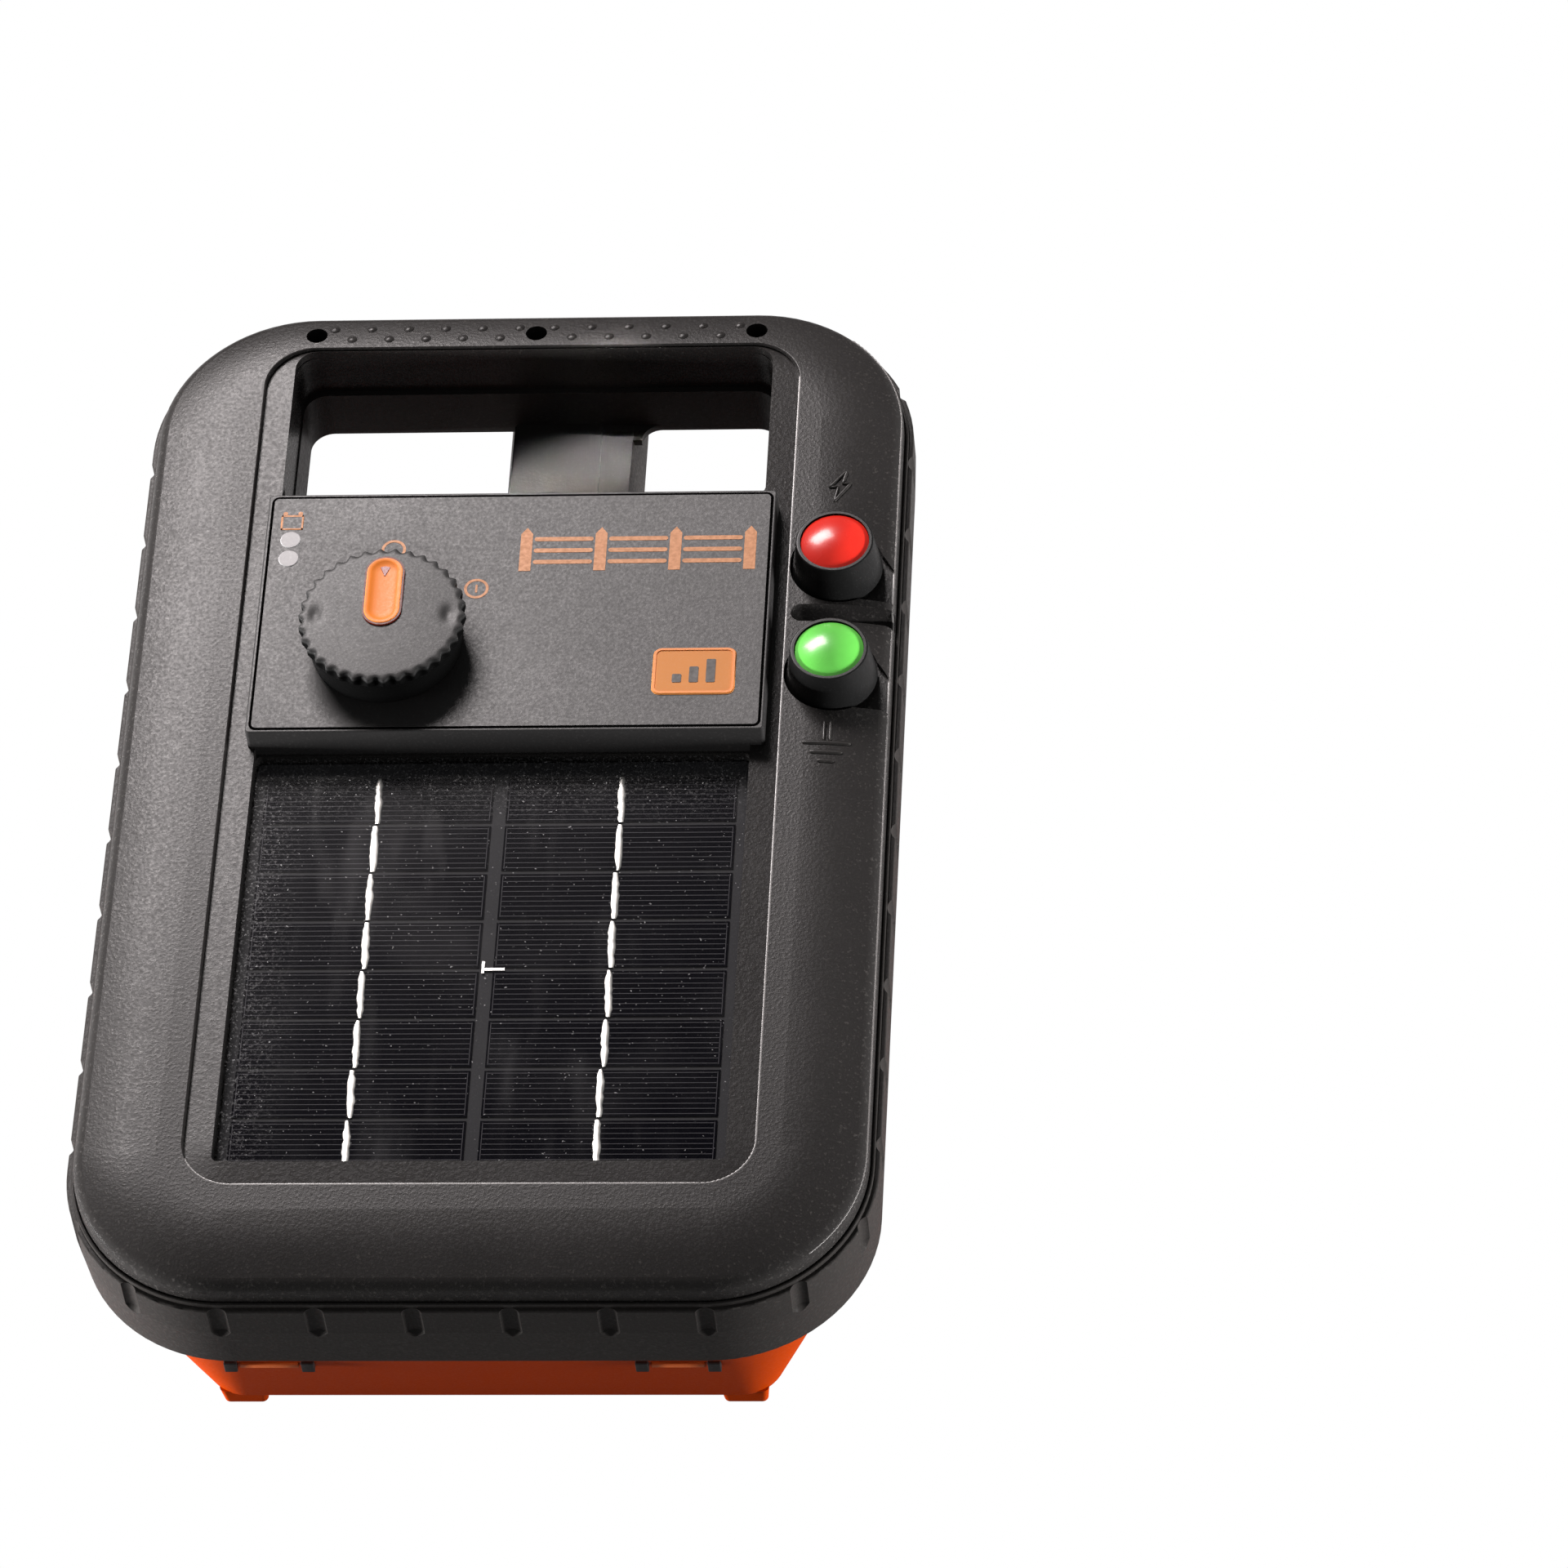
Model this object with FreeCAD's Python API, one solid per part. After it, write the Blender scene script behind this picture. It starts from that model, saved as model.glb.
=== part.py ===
"""Solar fence energizer: a portable solar-charged unit lying on its back.

Frame: millimetres, +Z out of the front face, +Y towards the carrying handle,
origin on the plane of the feet below the middle of the bounding box.
"""
import FreeCAD
import Part
import math
import os

Vector = FreeCAD.Vector
Z_AXIS = Vector(0, 0, 1)

# ---------------------------------------------------------------- dimensions
# Whole unit
band_width = 196.0
band_length = 304.5
band_corner_radius = 41.0
front_height = 80.0            # front rim plane above the feet
wall = 3.0

# Bumper band and handle back (rear frame)
band_bottom = 47.5
band_top = 70.3
band_upright = 9.0             # height of the upright part under the top edge
band_draft = 1.0               # how far the rest tapers in towards its rear edge
band_ledge_bottom = 60.0
band_edge_radius = 0.5
cover_gap = 0.6                # open groove between the cover's skirt and the band
ledge_width = 12.0             # ledge over the case rim, narrower at the handle end
ledge_width_top = 3.7
frame_top = 63.0               # parting plane between rear frame and front cover
notch_count = 40
notch_radius = 3.0
notch_reach = 9.0              # from the top of the band to where the notch narrows
notch_end = 2.4
notch_depth = 1.2

# Front cover
cover_inset = 2.3
cover_crown_run = 18.0         # width of the arched part of the ring
cover_crown_slope = 14.0       # degrees, where the arch meets the shoulder
cover_shoulder_radius = 3.5
rim_half_width = 68.7
rim_bottom = -121.9
rim_top = 137.25
rim_corner_radius = 12.5
rim_edge_radius = 0.5
ledge_drop = 1.5               # step from the rim down to the ledge round the recess
ledge_rise = 0.45              # the ledge climbs this much towards the recess
recess_drop = 3.5
recess_run = 7.0
recess_top_run = 0.6

# Handle opening
opening_half_width = 61.7
opening_bottom = 88.0
opening_top = rim_top - recess_top_run
opening_corner_radius = 6.0
frame_opening_inset = 0.4      # the frame closes in a little behind the cover
frame_opening_drop = 1.5

# Post channel across the back of the handle opening
channel_left = -8.0
channel_right = 23.0
channel_rear = 37.0
channel_face = 49.6
channel_wall = 2.4
channel_flank_slope = 2.4
channel_pad_right = 15.0       # the raised part of the face ends here
channel_pad_rise = 0.9
channel_corner_radius = 5.0

# Solar panel
panel_half_width = 61.4
panel_low = -114.4
panel_high = 7.6
panel_gap = 0.3
glass_top = front_height - recess_drop - 0.2
glass_bottom = glass_top - 2.0
cell_top = glass_bottom - 0.2
cell_bottom = cell_top - 0.3
sheet_bottom = cell_bottom - 1.2
seal_bottom = sheet_bottom - 0.6
cell_columns = 2
cell_rows = 8
cell_area_half_width = 58.8
cell_area_low = -113.6
cell_area_high = 2.4
cell_column_gap = 3.4
cell_row_gap = 1.2
ribbon_width = 2.0

# Control plate
plate_left = -63.5
plate_right = 65.5
plate_low = 8.6
plate_high = 84.2
plate_top = 85.5
plate_skin = 2.4
badge_left = 36.9
badge_low = 19.2
badge_width = 21.0
badge_height = 14.7
lens_x = -57.0
lens_rows = (63.4, 69.4)
lens_radius = 2.7

# Selector knob
knob_x = -30.0
knob_y = 36.3
knob_radius = 21.1
knob_bottom = 86.0
knob_top = 98.5
knob_lobes = 36
knob_lobe_depth = 0.7
pointer_width = 10.0
pointer_low = 32.3
pointer_high = 53.9
shaft_radius = 3.0
running_gap = 0.05

# Fence and earth terminals
terminal_x = 81.0
live_y = 64.5
earth_y = 30.5
pocket_floor = 76.0
pocket_radius = 11.95
scoop_low = 10.5               # lead scoop: how far below and above the stud it opens
scoop_high = 1.5
scoop_shoulder = 6.5
grip_base_radius = 11.4
grip_top_radius = 9.7
grip_bottom = 78.2
grip_top = 89.4
cap_radius = 8.6
cap_rise = 2.0
stud_radius = 4.0
stud_top = 85.0
washer_radius = 8.5
washer_bottom = pocket_floor + 0.3
washer_thickness = 1.6
slot_left = 70.0
slot_width = 5.4
slot_y = 49.2
slot_floor = 72.5

# Handle screws and grip studs
handle_screw_x = (-57.0, 0.0, 57.0)
handle_screw_y = 142.2
handle_hole_radius = 2.75
grip_bump_pitch = 9.6
grip_bump_radius = 1.3
grip_bump_rise = 0.45
grip_row_offset = 1.9

# Rear case
foot_height = 4.0
foot_width = 12.0
foot_inset = 3.4
foot_low_inset = 0.3           # the low feet stand nearly flush with the end wall
foot_taper = 0.6
case_back_half_width = 71.0
case_back_low = -133.5
case_back_high = 70.0
case_back_corner = 10.0
case_back_edge_radius = 1.2
case_rim_half_width = 92.0
case_rim_low = -146.2
case_rim_high = 83.6
case_rim_corner = 34.0
case_top = 58.0
case_wall = 2.6
case_screw_radius = 2.0
tab_x = (-58.5, -39.5, 39.5, 58.5)
tab_width = 3.6

# Inside
battery_size = (70.0, 101.0, 47.0)
battery_low = (-35.0, -124.0, 7.6)
board_low = (-56.0, 9.0, 60.0)
board_size = (112.0, 70.0, 1.6)
transformer_low = (-34.0, 22.0, 16.0)
transformer_size = (44.0, 38.0, 36.0)
capacitor_radius = 16.0
capacitor_length = 52.0

# ------------------------------------------------------------------- helpers


def outline(x0, x1, y0, y1, z, radius):
    """Closed rounded rectangle at height z."""
    r = radius
    half = r * math.sqrt(0.5)
    corners = ((x1 - r, y1 - r, 1, 1), (x0 + r, y1 - r, -1, 1),
               (x0 + r, y0 + r, -1, -1), (x1 - r, y0 + r, 1, -1))
    arcs = []
    for cx, cy, sx, sy in corners:
        side = Vector(cx + sx * r, cy, z)
        middle = Vector(cx + sx * half, cy + sy * half, z)
        end = Vector(cx, cy + sy * r, z)
        if sx * sy > 0:
            arcs.append((side, middle, end))
        else:
            arcs.append((end, middle, side))
    edges = []
    for index, (start, middle, end) in enumerate(arcs):
        edges.append(Part.Arc(start, middle, end).toShape())
        following = arcs[(index + 1) % len(arcs)][0]
        if (following - end).Length > 1e-6:
            edges.append(Part.makeLine(end, following))
    return Part.Wire(edges)


def slab(x0, x1, y0, y1, z0, z1, radius):
    """Rounded rectangle extruded from z0 to z1."""
    face = Part.Face(outline(x0, x1, y0, y1, z0, radius))
    return face.extrude(Vector(0, 0, z1 - z0))


def block(x0, x1, y0, y1, z0, z1):
    return Part.makeBox(x1 - x0, y1 - y0, z1 - z0, Vector(x0, y0, z0))


def disc(x, y, z0, z1, radius):
    return Part.makeCylinder(radius, z1 - z0, Vector(x, y, z0))


def frustum(lower, upper):
    """Solid between two outlines that have the same number of edges."""
    return Part.makeLoft([lower, upper], True, True)


def edges_where(shape, test):
    """Edges whose every vertex passes the test."""
    return [e for e in shape.Edges if e.Vertexes and all(test(v.Point) for v in e.Vertexes)]


def edges_at(shape, z):
    """Edges that lie in the plane at height z."""
    return edges_where(shape, lambda p: abs(p.z - z) < 0.01)


def rounded(shape, radius, edges):
    """Fillet the edges, or keep the sharp shape where no fillet fits."""
    try:
        result = shape.makeFillet(radius, edges)
    except Part.OCCError:
        return shape
    return result if result.isValid() and result.Volume > 0 else shape


def cut_all(shape, tools):
    return shape.cut(Part.makeCompound(tools)) if tools else shape


def inset_outline(inset, z):
    """The unit's own outline, moved in by inset, at height z."""
    half_w = band_width / 2 - inset
    half_l = band_length / 2 - inset
    return outline(-half_w, half_w, -half_l, half_l, z, band_corner_radius - inset)


def inset_slab(inset, z0, z1):
    return Part.Face(inset_outline(inset, z0)).extrude(Vector(0, 0, z1 - z0))


def lead(points, radius, bend):
    """Insulated wire: straight runs joined by tangent arcs."""
    points = [Vector(*p) for p in points]
    edges = []
    start = points[0]
    for before, corner, after in zip(points, points[1:], points[2:]):
        back = (before - corner).normalize()
        ahead = (after - corner).normalize()
        half_turn = (math.pi - back.getAngle(ahead)) / 2
        reach = bend * math.tan(half_turn)
        centre = corner + (back + ahead).normalize() * (bend / math.cos(half_turn))
        first = corner + back * reach
        last = corner + ahead * reach
        middle = centre + (corner - centre).normalize() * bend
        edges.append(Part.makeLine(start, first))
        edges.append(Part.Arc(first, middle, last).toShape())
        start = last
    edges.append(Part.makeLine(start, points[-1]))
    path = Part.Wire(edges)
    section = Part.Wire(Part.makeCircle(radius, points[0], points[1] - points[0]))
    return path.makePipeShell([section], True, False)


def walk_outline(distance, inset):
    """Point and outward direction on the unit's outline, from the bottom middle to +X."""
    half_w = band_width / 2 - band_corner_radius
    half_l = band_length / 2 - band_corner_radius
    r = band_corner_radius
    quarter = r * math.pi / 2
    stretches = (("line", (0, -half_l - r), (1, 0), half_w),
                 ("arc", (half_w, -half_l), -90, quarter),
                 ("line", (half_w + r, -half_l), (0, 1), 2 * half_l),
                 ("arc", (half_w, half_l), 0, quarter),
                 ("line", (half_w, half_l + r), (-1, 0), 2 * half_w),
                 ("arc", (-half_w, half_l), 90, quarter),
                 ("line", (-half_w - r, half_l), (0, -1), 2 * half_l),
                 ("arc", (-half_w, -half_l), 180, quarter),
                 ("line", (-half_w, -half_l - r), (1, 0), half_w))
    for kind, anchor, heading, length in stretches:
        if distance <= length:
            break
        distance -= length
    if kind == "line":
        out = Vector(heading[1], -heading[0], 0)
        point = Vector(anchor[0] + heading[0] * distance, anchor[1] + heading[1] * distance, 0)
        return point - out * inset, out
    angle = math.radians(heading) + distance / r
    out = Vector(math.cos(angle), math.sin(angle), 0)
    return Vector(anchor[0], anchor[1], 0) + out * (r - inset), out


def outline_length():
    straight = 2 * (band_width + band_length - 4 * band_corner_radius)
    return straight + 2 * math.pi * band_corner_radius


# ------------------------------------------------------------------ housing


def handle_opening(z0, z1, grow=0.0):
    return slab(-opening_half_width - grow, opening_half_width + grow, opening_bottom - grow,
                opening_top + grow, z0, z1, opening_corner_radius + grow)


def crown_drop(inset):
    """How far the cover's face has fallen at this distance in from the skirt."""
    slope = math.radians(cover_crown_slope)
    shoulder_run = cover_shoulder_radius * (1 - math.sin(slope))
    reach = cover_crown_run + shoulder_run - inset
    crown_radius = cover_crown_run / math.sin(slope)
    return crown_radius - math.sqrt(crown_radius ** 2 - max(0.0, reach) ** 2)


def cover_section():
    """Upright section of the ring: skirt, round shoulder, shallow arch and flat top.

    It lies in the XZ plane, with X measured out from the axis of a corner.
    """
    skirt = band_corner_radius - cover_inset
    slope = math.radians(cover_crown_slope)
    crown_radius = cover_crown_run / math.sin(slope)
    shoulder_x = skirt - cover_shoulder_radius
    joint_x = shoulder_x + cover_shoulder_radius * math.sin(slope)
    joint_z = front_height - crown_radius * (1 - math.cos(slope))
    shoulder_z = joint_z - cover_shoulder_radius * math.cos(slope)
    flat_x = joint_x - cover_crown_run
    half_turn = (math.pi / 2 - slope) / 2
    shoulder_middle = Vector(shoulder_x + cover_shoulder_radius * math.cos(half_turn), 0,
                             shoulder_z + cover_shoulder_radius * math.sin(half_turn))
    crown_middle = Vector(flat_x + crown_radius * math.sin(slope / 2), 0,
                          front_height - crown_radius * (1 - math.cos(slope / 2)))
    foot = Vector(skirt, 0, frame_top)
    top_of_skirt = Vector(skirt, 0, shoulder_z)
    joint = Vector(joint_x, 0, joint_z)
    flat = Vector(flat_x, 0, front_height)
    axis_top = Vector(0, 0, front_height)
    axis_foot = Vector(0, 0, frame_top)
    return Part.Face(Part.Wire([
        Part.makeLine(axis_foot, foot),
        Part.makeLine(foot, top_of_skirt),
        Part.Arc(top_of_skirt, shoulder_middle, joint).toShape(),
        Part.Arc(joint, crown_middle, flat).toShape(),
        Part.makeLine(flat, axis_top),
        Part.makeLine(axis_top, axis_foot)]))


def domed_blank():
    """Cover outside: the section turned round each corner and run along each side."""
    section = cover_section()
    corner = section.revolve(Vector(0, 0, 0), Z_AXIS, 90)
    half_w = band_width / 2 - band_corner_radius
    half_l = band_length / 2 - band_corner_radius
    pieces = []
    for quarter, (sx, sy) in enumerate(((1, 1), (-1, 1), (-1, -1), (1, -1))):
        turned = corner.copy()
        turned.rotate(Vector(0, 0, 0), Z_AXIS, 90 * quarter)
        turned.translate(Vector(sx * half_w, sy * half_l, 0))
        pieces.append(turned)
        along = half_l if quarter % 2 == 0 else half_w
        out = half_w if quarter % 2 == 0 else half_l
        side = section.copy()
        side.translate(Vector(out, -along, 0))
        side = side.extrude(Vector(0, 2 * along, 0))
        side.rotate(Vector(0, 0, 0), Z_AXIS, 90 * quarter)
        pieces.append(side)
    middle = block(-half_w, half_w, -half_l, half_l, frame_top, front_height)
    return middle.fuse(pieces).removeSplitter()


def rim_outline(z):
    """Inner edge of the ring, where the step down to the ledge is."""
    return outline(-rim_half_width, rim_half_width, rim_bottom, rim_top, z, rim_corner_radius)


def recess_outline(z):
    half = rim_half_width - recess_run
    return outline(-half, half, rim_bottom + recess_run, opening_top, z,
                   rim_corner_radius - recess_run)


def recess_tool():
    """Sink inside the ring: a step, a sloping ledge, and the floor for panel and plate."""
    step = front_height - ledge_drop
    above = Part.Face(rim_outline(step)).extrude(Vector(0, 0, ledge_drop + 1))
    ledge = frustum(rim_outline(step), recess_outline(step + ledge_rise))
    floor = front_height - recess_drop
    sink = Part.Face(recess_outline(floor)).extrude(Vector(0, 0, recess_drop + 1))
    return above.cut(ledge).fuse(sink)


def on_rim(p):
    """True for a point on the upper inner edge of the ring."""
    r = rim_corner_radius
    x = max(0.0, abs(p.x) - rim_half_width + r)
    y = max(0.0, p.y - rim_top + r, rim_bottom + r - p.y)
    return abs(math.hypot(x, y) - r) < 0.01 and p.z > front_height - ledge_drop + 0.1


def panel_pocket():
    pocket = slab(-panel_half_width - panel_gap, panel_half_width + panel_gap,
                  panel_low - panel_gap, panel_high + panel_gap, seal_bottom, front_height, 1.5)
    cable_hole = disc(0, panel_high - 16, frame_top, front_height, 5.0)
    return [pocket, cable_hole]


def cover_cavity():
    """Space under the ring of the cover, outside the recess walls."""
    half = rim_half_width - recess_run + wall
    edge = cover_inset + wall + 0.5
    low = -band_length / 2 + edge
    ring = slab(-band_width / 2 + edge, band_width / 2 - edge, low, opening_top - 4,
                frame_top - 1, front_height - 4.4, band_corner_radius - edge)
    island = slab(-half, half, rim_bottom + recess_run - wall, opening_top + wall,
                  frame_top - 2, front_height, rim_corner_radius - recess_run + wall)
    return ring.cut(island)


def recess_underside():
    """Space under the recess floor, below the panel seat and the plate."""
    half = rim_half_width - recess_run
    low = rim_bottom + recess_run
    seat = glass_bottom - 5.0
    under_panel = slab(-half, half, low, opening_bottom - wall, frame_top - 1, seat, 3.0)
    under_plate = slab(-half, half, panel_high + 4, opening_bottom - wall,
                       frame_top - 1, front_height - recess_drop - wall, 3.0)
    return under_panel.fuse(under_plate)


def terminal_boss(y):
    return disc(terminal_x, y, 70.5, front_height - 3.0, pocket_radius + 2.4)


def terminal_pocket(y):
    """Round well for one terminal, with a lead scoop out through the side."""
    well = disc(terminal_x, y, pocket_floor, front_height + 1, pocket_radius)
    beyond = band_width / 2 + 1
    near = band_width / 2 - cover_inset + 0.7
    shoulder_x = terminal_x + 9.5
    corners = ((terminal_x, y - scoop_low), (beyond, y - scoop_low), (beyond, y - scoop_high),
               (near, y - scoop_high), (shoulder_x, y + scoop_shoulder),
               (terminal_x, y + scoop_shoulder), (terminal_x, y - scoop_low))
    floor = Part.Face(Part.makePolygon([Vector(px, py, pocket_floor) for px, py in corners]))
    scoop = floor.extrude(Vector(0, 0, front_height + 1 - pocket_floor))
    stud_hole = disc(terminal_x, y, frame_top, front_height, stud_radius + 0.2)
    return [well, scoop, stud_hole]


def terminal_slot():
    half = slot_width / 2
    blank = block(slot_left + half, band_width / 2 + 1, slot_y - half, slot_y + half,
                  slot_floor, front_height + 1)
    return blank.fuse(disc(slot_left + half, slot_y, slot_floor, front_height + 1, half))


def slot_walls():
    """Material left round the slot where it would break into the cavity."""
    return slab(slot_left - 2.4, band_width / 2 - cover_inset - 1, slot_y - slot_width / 2 - 2.4,
                slot_y + slot_width / 2 + 2.4, slot_floor - 2.4, front_height - 3.0, 4.0)


def grip_bumps():
    """Two staggered rows of small domes between the handle screws."""
    bumps = []
    sphere_radius = (grip_bump_radius ** 2 + grip_bump_rise ** 2) / (2 * grip_bump_rise)
    for left, right in zip(handle_screw_x, handle_screw_x[1:]):
        middle = (left + right) / 2
        for count, y in ((6, handle_screw_y + grip_row_offset), (5, handle_screw_y - grip_row_offset)):
            for index in range(count):
                x = middle + (index - (count - 1) / 2) * grip_bump_pitch
                face = front_height - crown_drop(band_length / 2 - cover_inset - y)
                centre = Vector(x, y, face + grip_bump_rise - sphere_radius)
                bumps.append(Part.makeSphere(sphere_radius, centre))
    keep = block(-band_width / 2, band_width / 2, rim_top, band_length / 2,
                 front_height - 3.0, front_height + 1)
    return [bump.common(keep) for bump in bumps]


def handle_screw_holes():
    return [disc(x, handle_screw_y, frame_top - 1, front_height + 1, handle_hole_radius)
            for x in handle_screw_x]


def board_posts():
    """Pegs under the recess floor that carry the circuit board."""
    top = front_height - recess_drop - wall
    x0 = board_low[0] + 5
    x1 = board_low[0] + board_size[0] - 5
    y0 = board_low[1] + 5
    y1 = board_low[1] + board_size[1] - 5
    board_top = board_low[2] + board_size[2]
    return [disc(x, y, board_top, top, 3.2) for x in (x0, x1) for y in (y0, y1)]


def front_cover():
    outside = domed_blank()
    cover = outside.cut(recess_tool())
    cover = rounded(cover, rim_edge_radius, edges_where(cover, on_rim))
    cover = cut_all(cover, [cover_cavity(), recess_underside()])
    additions = [terminal_boss(live_y), terminal_boss(earth_y), slot_walls()]
    cover = cover.fuse([piece.common(outside) for piece in additions])
    tools = [handle_opening(frame_top - 2, front_height + 1), terminal_slot()]
    tools += panel_pocket()
    tools += terminal_pocket(live_y) + terminal_pocket(earth_y)
    tools += handle_screw_holes()
    tools.append(disc(knob_x, knob_y, frame_top, front_height, shaft_radius + 1.0))
    tools += [disc(lens_x, y, frame_top, front_height, lens_radius - 0.4) for y in lens_rows]
    cover = cut_all(cover, tools)
    cover = cover.fuse(grip_bumps() + board_posts())
    return cover.removeSplitter()


def band_blank():
    """Bumper band: an upright rim over a face that tapers in towards the rear."""
    rim_bottom_z = band_top - band_upright
    rim = inset_slab(0, rim_bottom_z, band_top)
    rim = rim.cut(inset_slab(cover_inset - cover_gap, frame_top, band_top + 1))
    rim = rounded(rim, band_edge_radius, edges_at(rim, band_top))
    return rim.fuse(frustum(inset_outline(band_draft, band_bottom), inset_outline(0, rim_bottom_z)))


def band_notches():
    """Upright notches with a tapered end, evenly spaced round the band."""
    pitch = outline_length() / notch_count
    tools = []
    for index in range(notch_count):
        point, out = walk_outline((index + 0.5) * pitch, 0)
        centre = point + out * (notch_radius - notch_depth)
        foot = centre + Z_AXIS * (band_top - notch_reach)
        notch = Part.makeCylinder(notch_radius, notch_reach + 1, foot)
        end = Part.makeCone(notch_radius / 2, notch_radius, notch_end, foot - Z_AXIS * notch_end)
        tools.append(notch.fuse(end))
    return tools


def post_channel():
    """Hat-shaped bridge across the opening, open to the rear for a fence post."""
    y0 = opening_bottom - wall
    y1 = band_length / 2 - band_draft - 1.0
    bridge = frustum(outline(channel_left - channel_flank_slope, channel_right + channel_flank_slope,
                             y0, y1, channel_rear, 0.6),
                     outline(channel_left, channel_right, y0, y1, channel_face, 0.6))
    pad = block(channel_left + 0.6, channel_pad_right, y0, opening_top,
                channel_face - 1, channel_face + channel_pad_rise)
    corner_x = channel_right + channel_flank_slope
    corner_y = opening_top - frame_opening_drop
    web = block(channel_right, corner_x + channel_corner_radius, corner_y - channel_corner_radius,
                corner_y + 0.5, band_bottom, band_bottom + 2)
    web = web.cut(disc(corner_x + channel_corner_radius, corner_y - channel_corner_radius,
                       band_bottom - 1, band_bottom + 3, channel_corner_radius))
    return bridge.fuse([pad, web])


def post_channel_hollow():
    y0 = opening_bottom - wall - 1
    y1 = band_length / 2 + 1
    top = channel_face - channel_wall
    return frustum(outline(channel_left + channel_wall - channel_flank_slope,
                           channel_right - channel_wall + channel_flank_slope,
                           y0, y1, channel_rear - 1, 0.4),
                   outline(channel_left + channel_wall, channel_right - channel_wall,
                           y0, y1, top, 0.4))


def frame_opening(z0, z1, grow=0.0):
    """Handle opening of the frame, a little smaller than the cover's."""
    half = opening_half_width - frame_opening_inset + grow
    return slab(-half, half, opening_bottom - grow, opening_top - frame_opening_drop + grow,
                z0, z1, opening_corner_radius + grow)


def rear_frame():
    frame = band_blank()
    case_room = slab(-case_rim_half_width - 0.3, case_rim_half_width + 0.3,
                     case_rim_low - 0.3, case_rim_high + 0.3,
                     band_bottom - 1, band_ledge_bottom, case_rim_corner + 0.3)
    frame = frame.cut(case_room)
    window = slab(-case_rim_half_width + ledge_width, case_rim_half_width - ledge_width,
                  case_rim_low + ledge_width, case_rim_high - ledge_width_top,
                  band_ledge_bottom - 1, frame_top + 1, case_rim_corner - ledge_width)
    screw_holes = [disc(x, y, band_bottom, frame_top + 1, case_screw_radius + 0.1)
                   for x, y in case_screw_places()]
    frame = cut_all(frame, [window] + screw_holes)
    handle_core = inset_slab(6.0, band_bottom + wall, frame_top + 1)
    handle_core = handle_core.common(block(-band_width, band_width, opening_bottom + 0.2,
                                           band_length, band_bottom, frame_top + 1))
    handle_core = handle_core.cut(frame_opening(band_bottom, frame_top, wall))
    frame = frame.cut(handle_core)
    frame = frame.cut(frame_opening(band_bottom - 1, frame_top + 1))
    frame = frame.fuse(post_channel()).cut(post_channel_hollow())
    frame = frame.cut(block(-band_width / 2, band_width / 2, 0, opening_bottom - wall,
                            channel_rear - 1, band_bottom))
    posts = [disc(x, handle_screw_y, band_bottom + 1, frame_top, 4.2) for x in handle_screw_x]
    frame = frame.fuse(posts)
    pilots = [disc(x, handle_screw_y, band_bottom + 5, frame_top + 1, 1.6)
              for x in handle_screw_x]
    frame = cut_all(frame, pilots)
    tabs = [block(x - tab_width / 2, x + tab_width / 2, case_rim_low - 2.2, case_rim_low - 0.3,
                  band_bottom - 2.2, band_bottom + 1) for x in tab_x]
    return cut_all(frame.fuse(tabs), band_notches()).removeSplitter()


def case_shell(shrink, floor, top):
    """Tapered tub with an upright rim; shrink moves every wall in."""
    back = outline(-case_back_half_width + shrink, case_back_half_width - shrink,
                   case_back_low + shrink, case_back_high - shrink, floor,
                   case_back_corner - shrink)
    rim = outline(-case_rim_half_width + shrink, case_rim_half_width - shrink,
                  case_rim_low + shrink, case_rim_high - shrink, band_bottom,
                  case_rim_corner - shrink)
    upper = Part.Face(rim).extrude(Vector(0, 0, top - band_bottom))
    return frustum(back, rim).fuse(upper)


def case_foot(x, y):
    """Moulded foot, a little narrower where it stands."""
    top = foot_width / 2
    tip = top - foot_taper
    return frustum(outline(x - tip, x + tip, y - tip, y + tip, 0, 1.5),
                   outline(x - top, x + top, y - top, y + top, foot_height + 1.5, 1.5))


def foot_places():
    x = case_back_half_width - foot_inset - foot_width / 2
    low = case_back_low + foot_low_inset + foot_width / 2
    high = case_back_high - foot_inset - foot_width / 2
    return [(side * x, y) for side in (-1, 1) for y in (low, high)]


def case_screw_places():
    low = case_rim_low + 22
    high = case_rim_high - 14
    x = case_rim_half_width - 7.5
    middle = (low + high) / 2
    return [(side * x, y) for side in (-1, 1) for y in (low + 16, middle, high - 16)]


def rear_case():
    tub = case_shell(0, foot_height, case_top)
    tub = rounded(tub, case_back_edge_radius, edges_at(tub, foot_height))
    tub = tub.cut(case_shell(case_wall, foot_height + case_wall, case_top + 1))
    tub = tub.fuse([case_foot(x, y) for x, y in foot_places()])
    room = band_bottom - 4
    ledges = [block(tab_x[i] + tab_width, tab_x[i + 1] - tab_width, case_rim_low - 0.1,
                    case_rim_low + 3, room, band_bottom - 0.2) for i in (0, 2)]
    tub = tub.fuse(ledges)
    outside = case_shell(0, foot_height, case_top)
    bosses = [disc(x, y, foot_height, case_top, 5.0).common(outside)
              for x, y in case_screw_places()]
    tub = tub.fuse(bosses)
    wells = [disc(x, y, foot_height - 1, case_top - 8, 3.6) for x, y in case_screw_places()]
    holes = [disc(x, y, foot_height - 1, case_top + 1, case_screw_radius + 0.3)
             for x, y in case_screw_places()]
    return cut_all(tub, wells + holes).removeSplitter()


def case_gasket():
    """Flat seal between the case rim and the ledge of the rear frame."""
    ring = slab(-case_rim_half_width + 0.4, case_rim_half_width - 0.4, case_rim_low + 0.4,
                case_rim_high - 0.4, case_top, band_ledge_bottom, case_rim_corner - 0.4)
    inner = case_wall - 0.2
    return ring.cut(slab(-case_rim_half_width + inner, case_rim_half_width - inner,
                         case_rim_low + inner, case_rim_high - inner, case_top - 1,
                         band_ledge_bottom + 1, case_rim_corner - inner))


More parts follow.
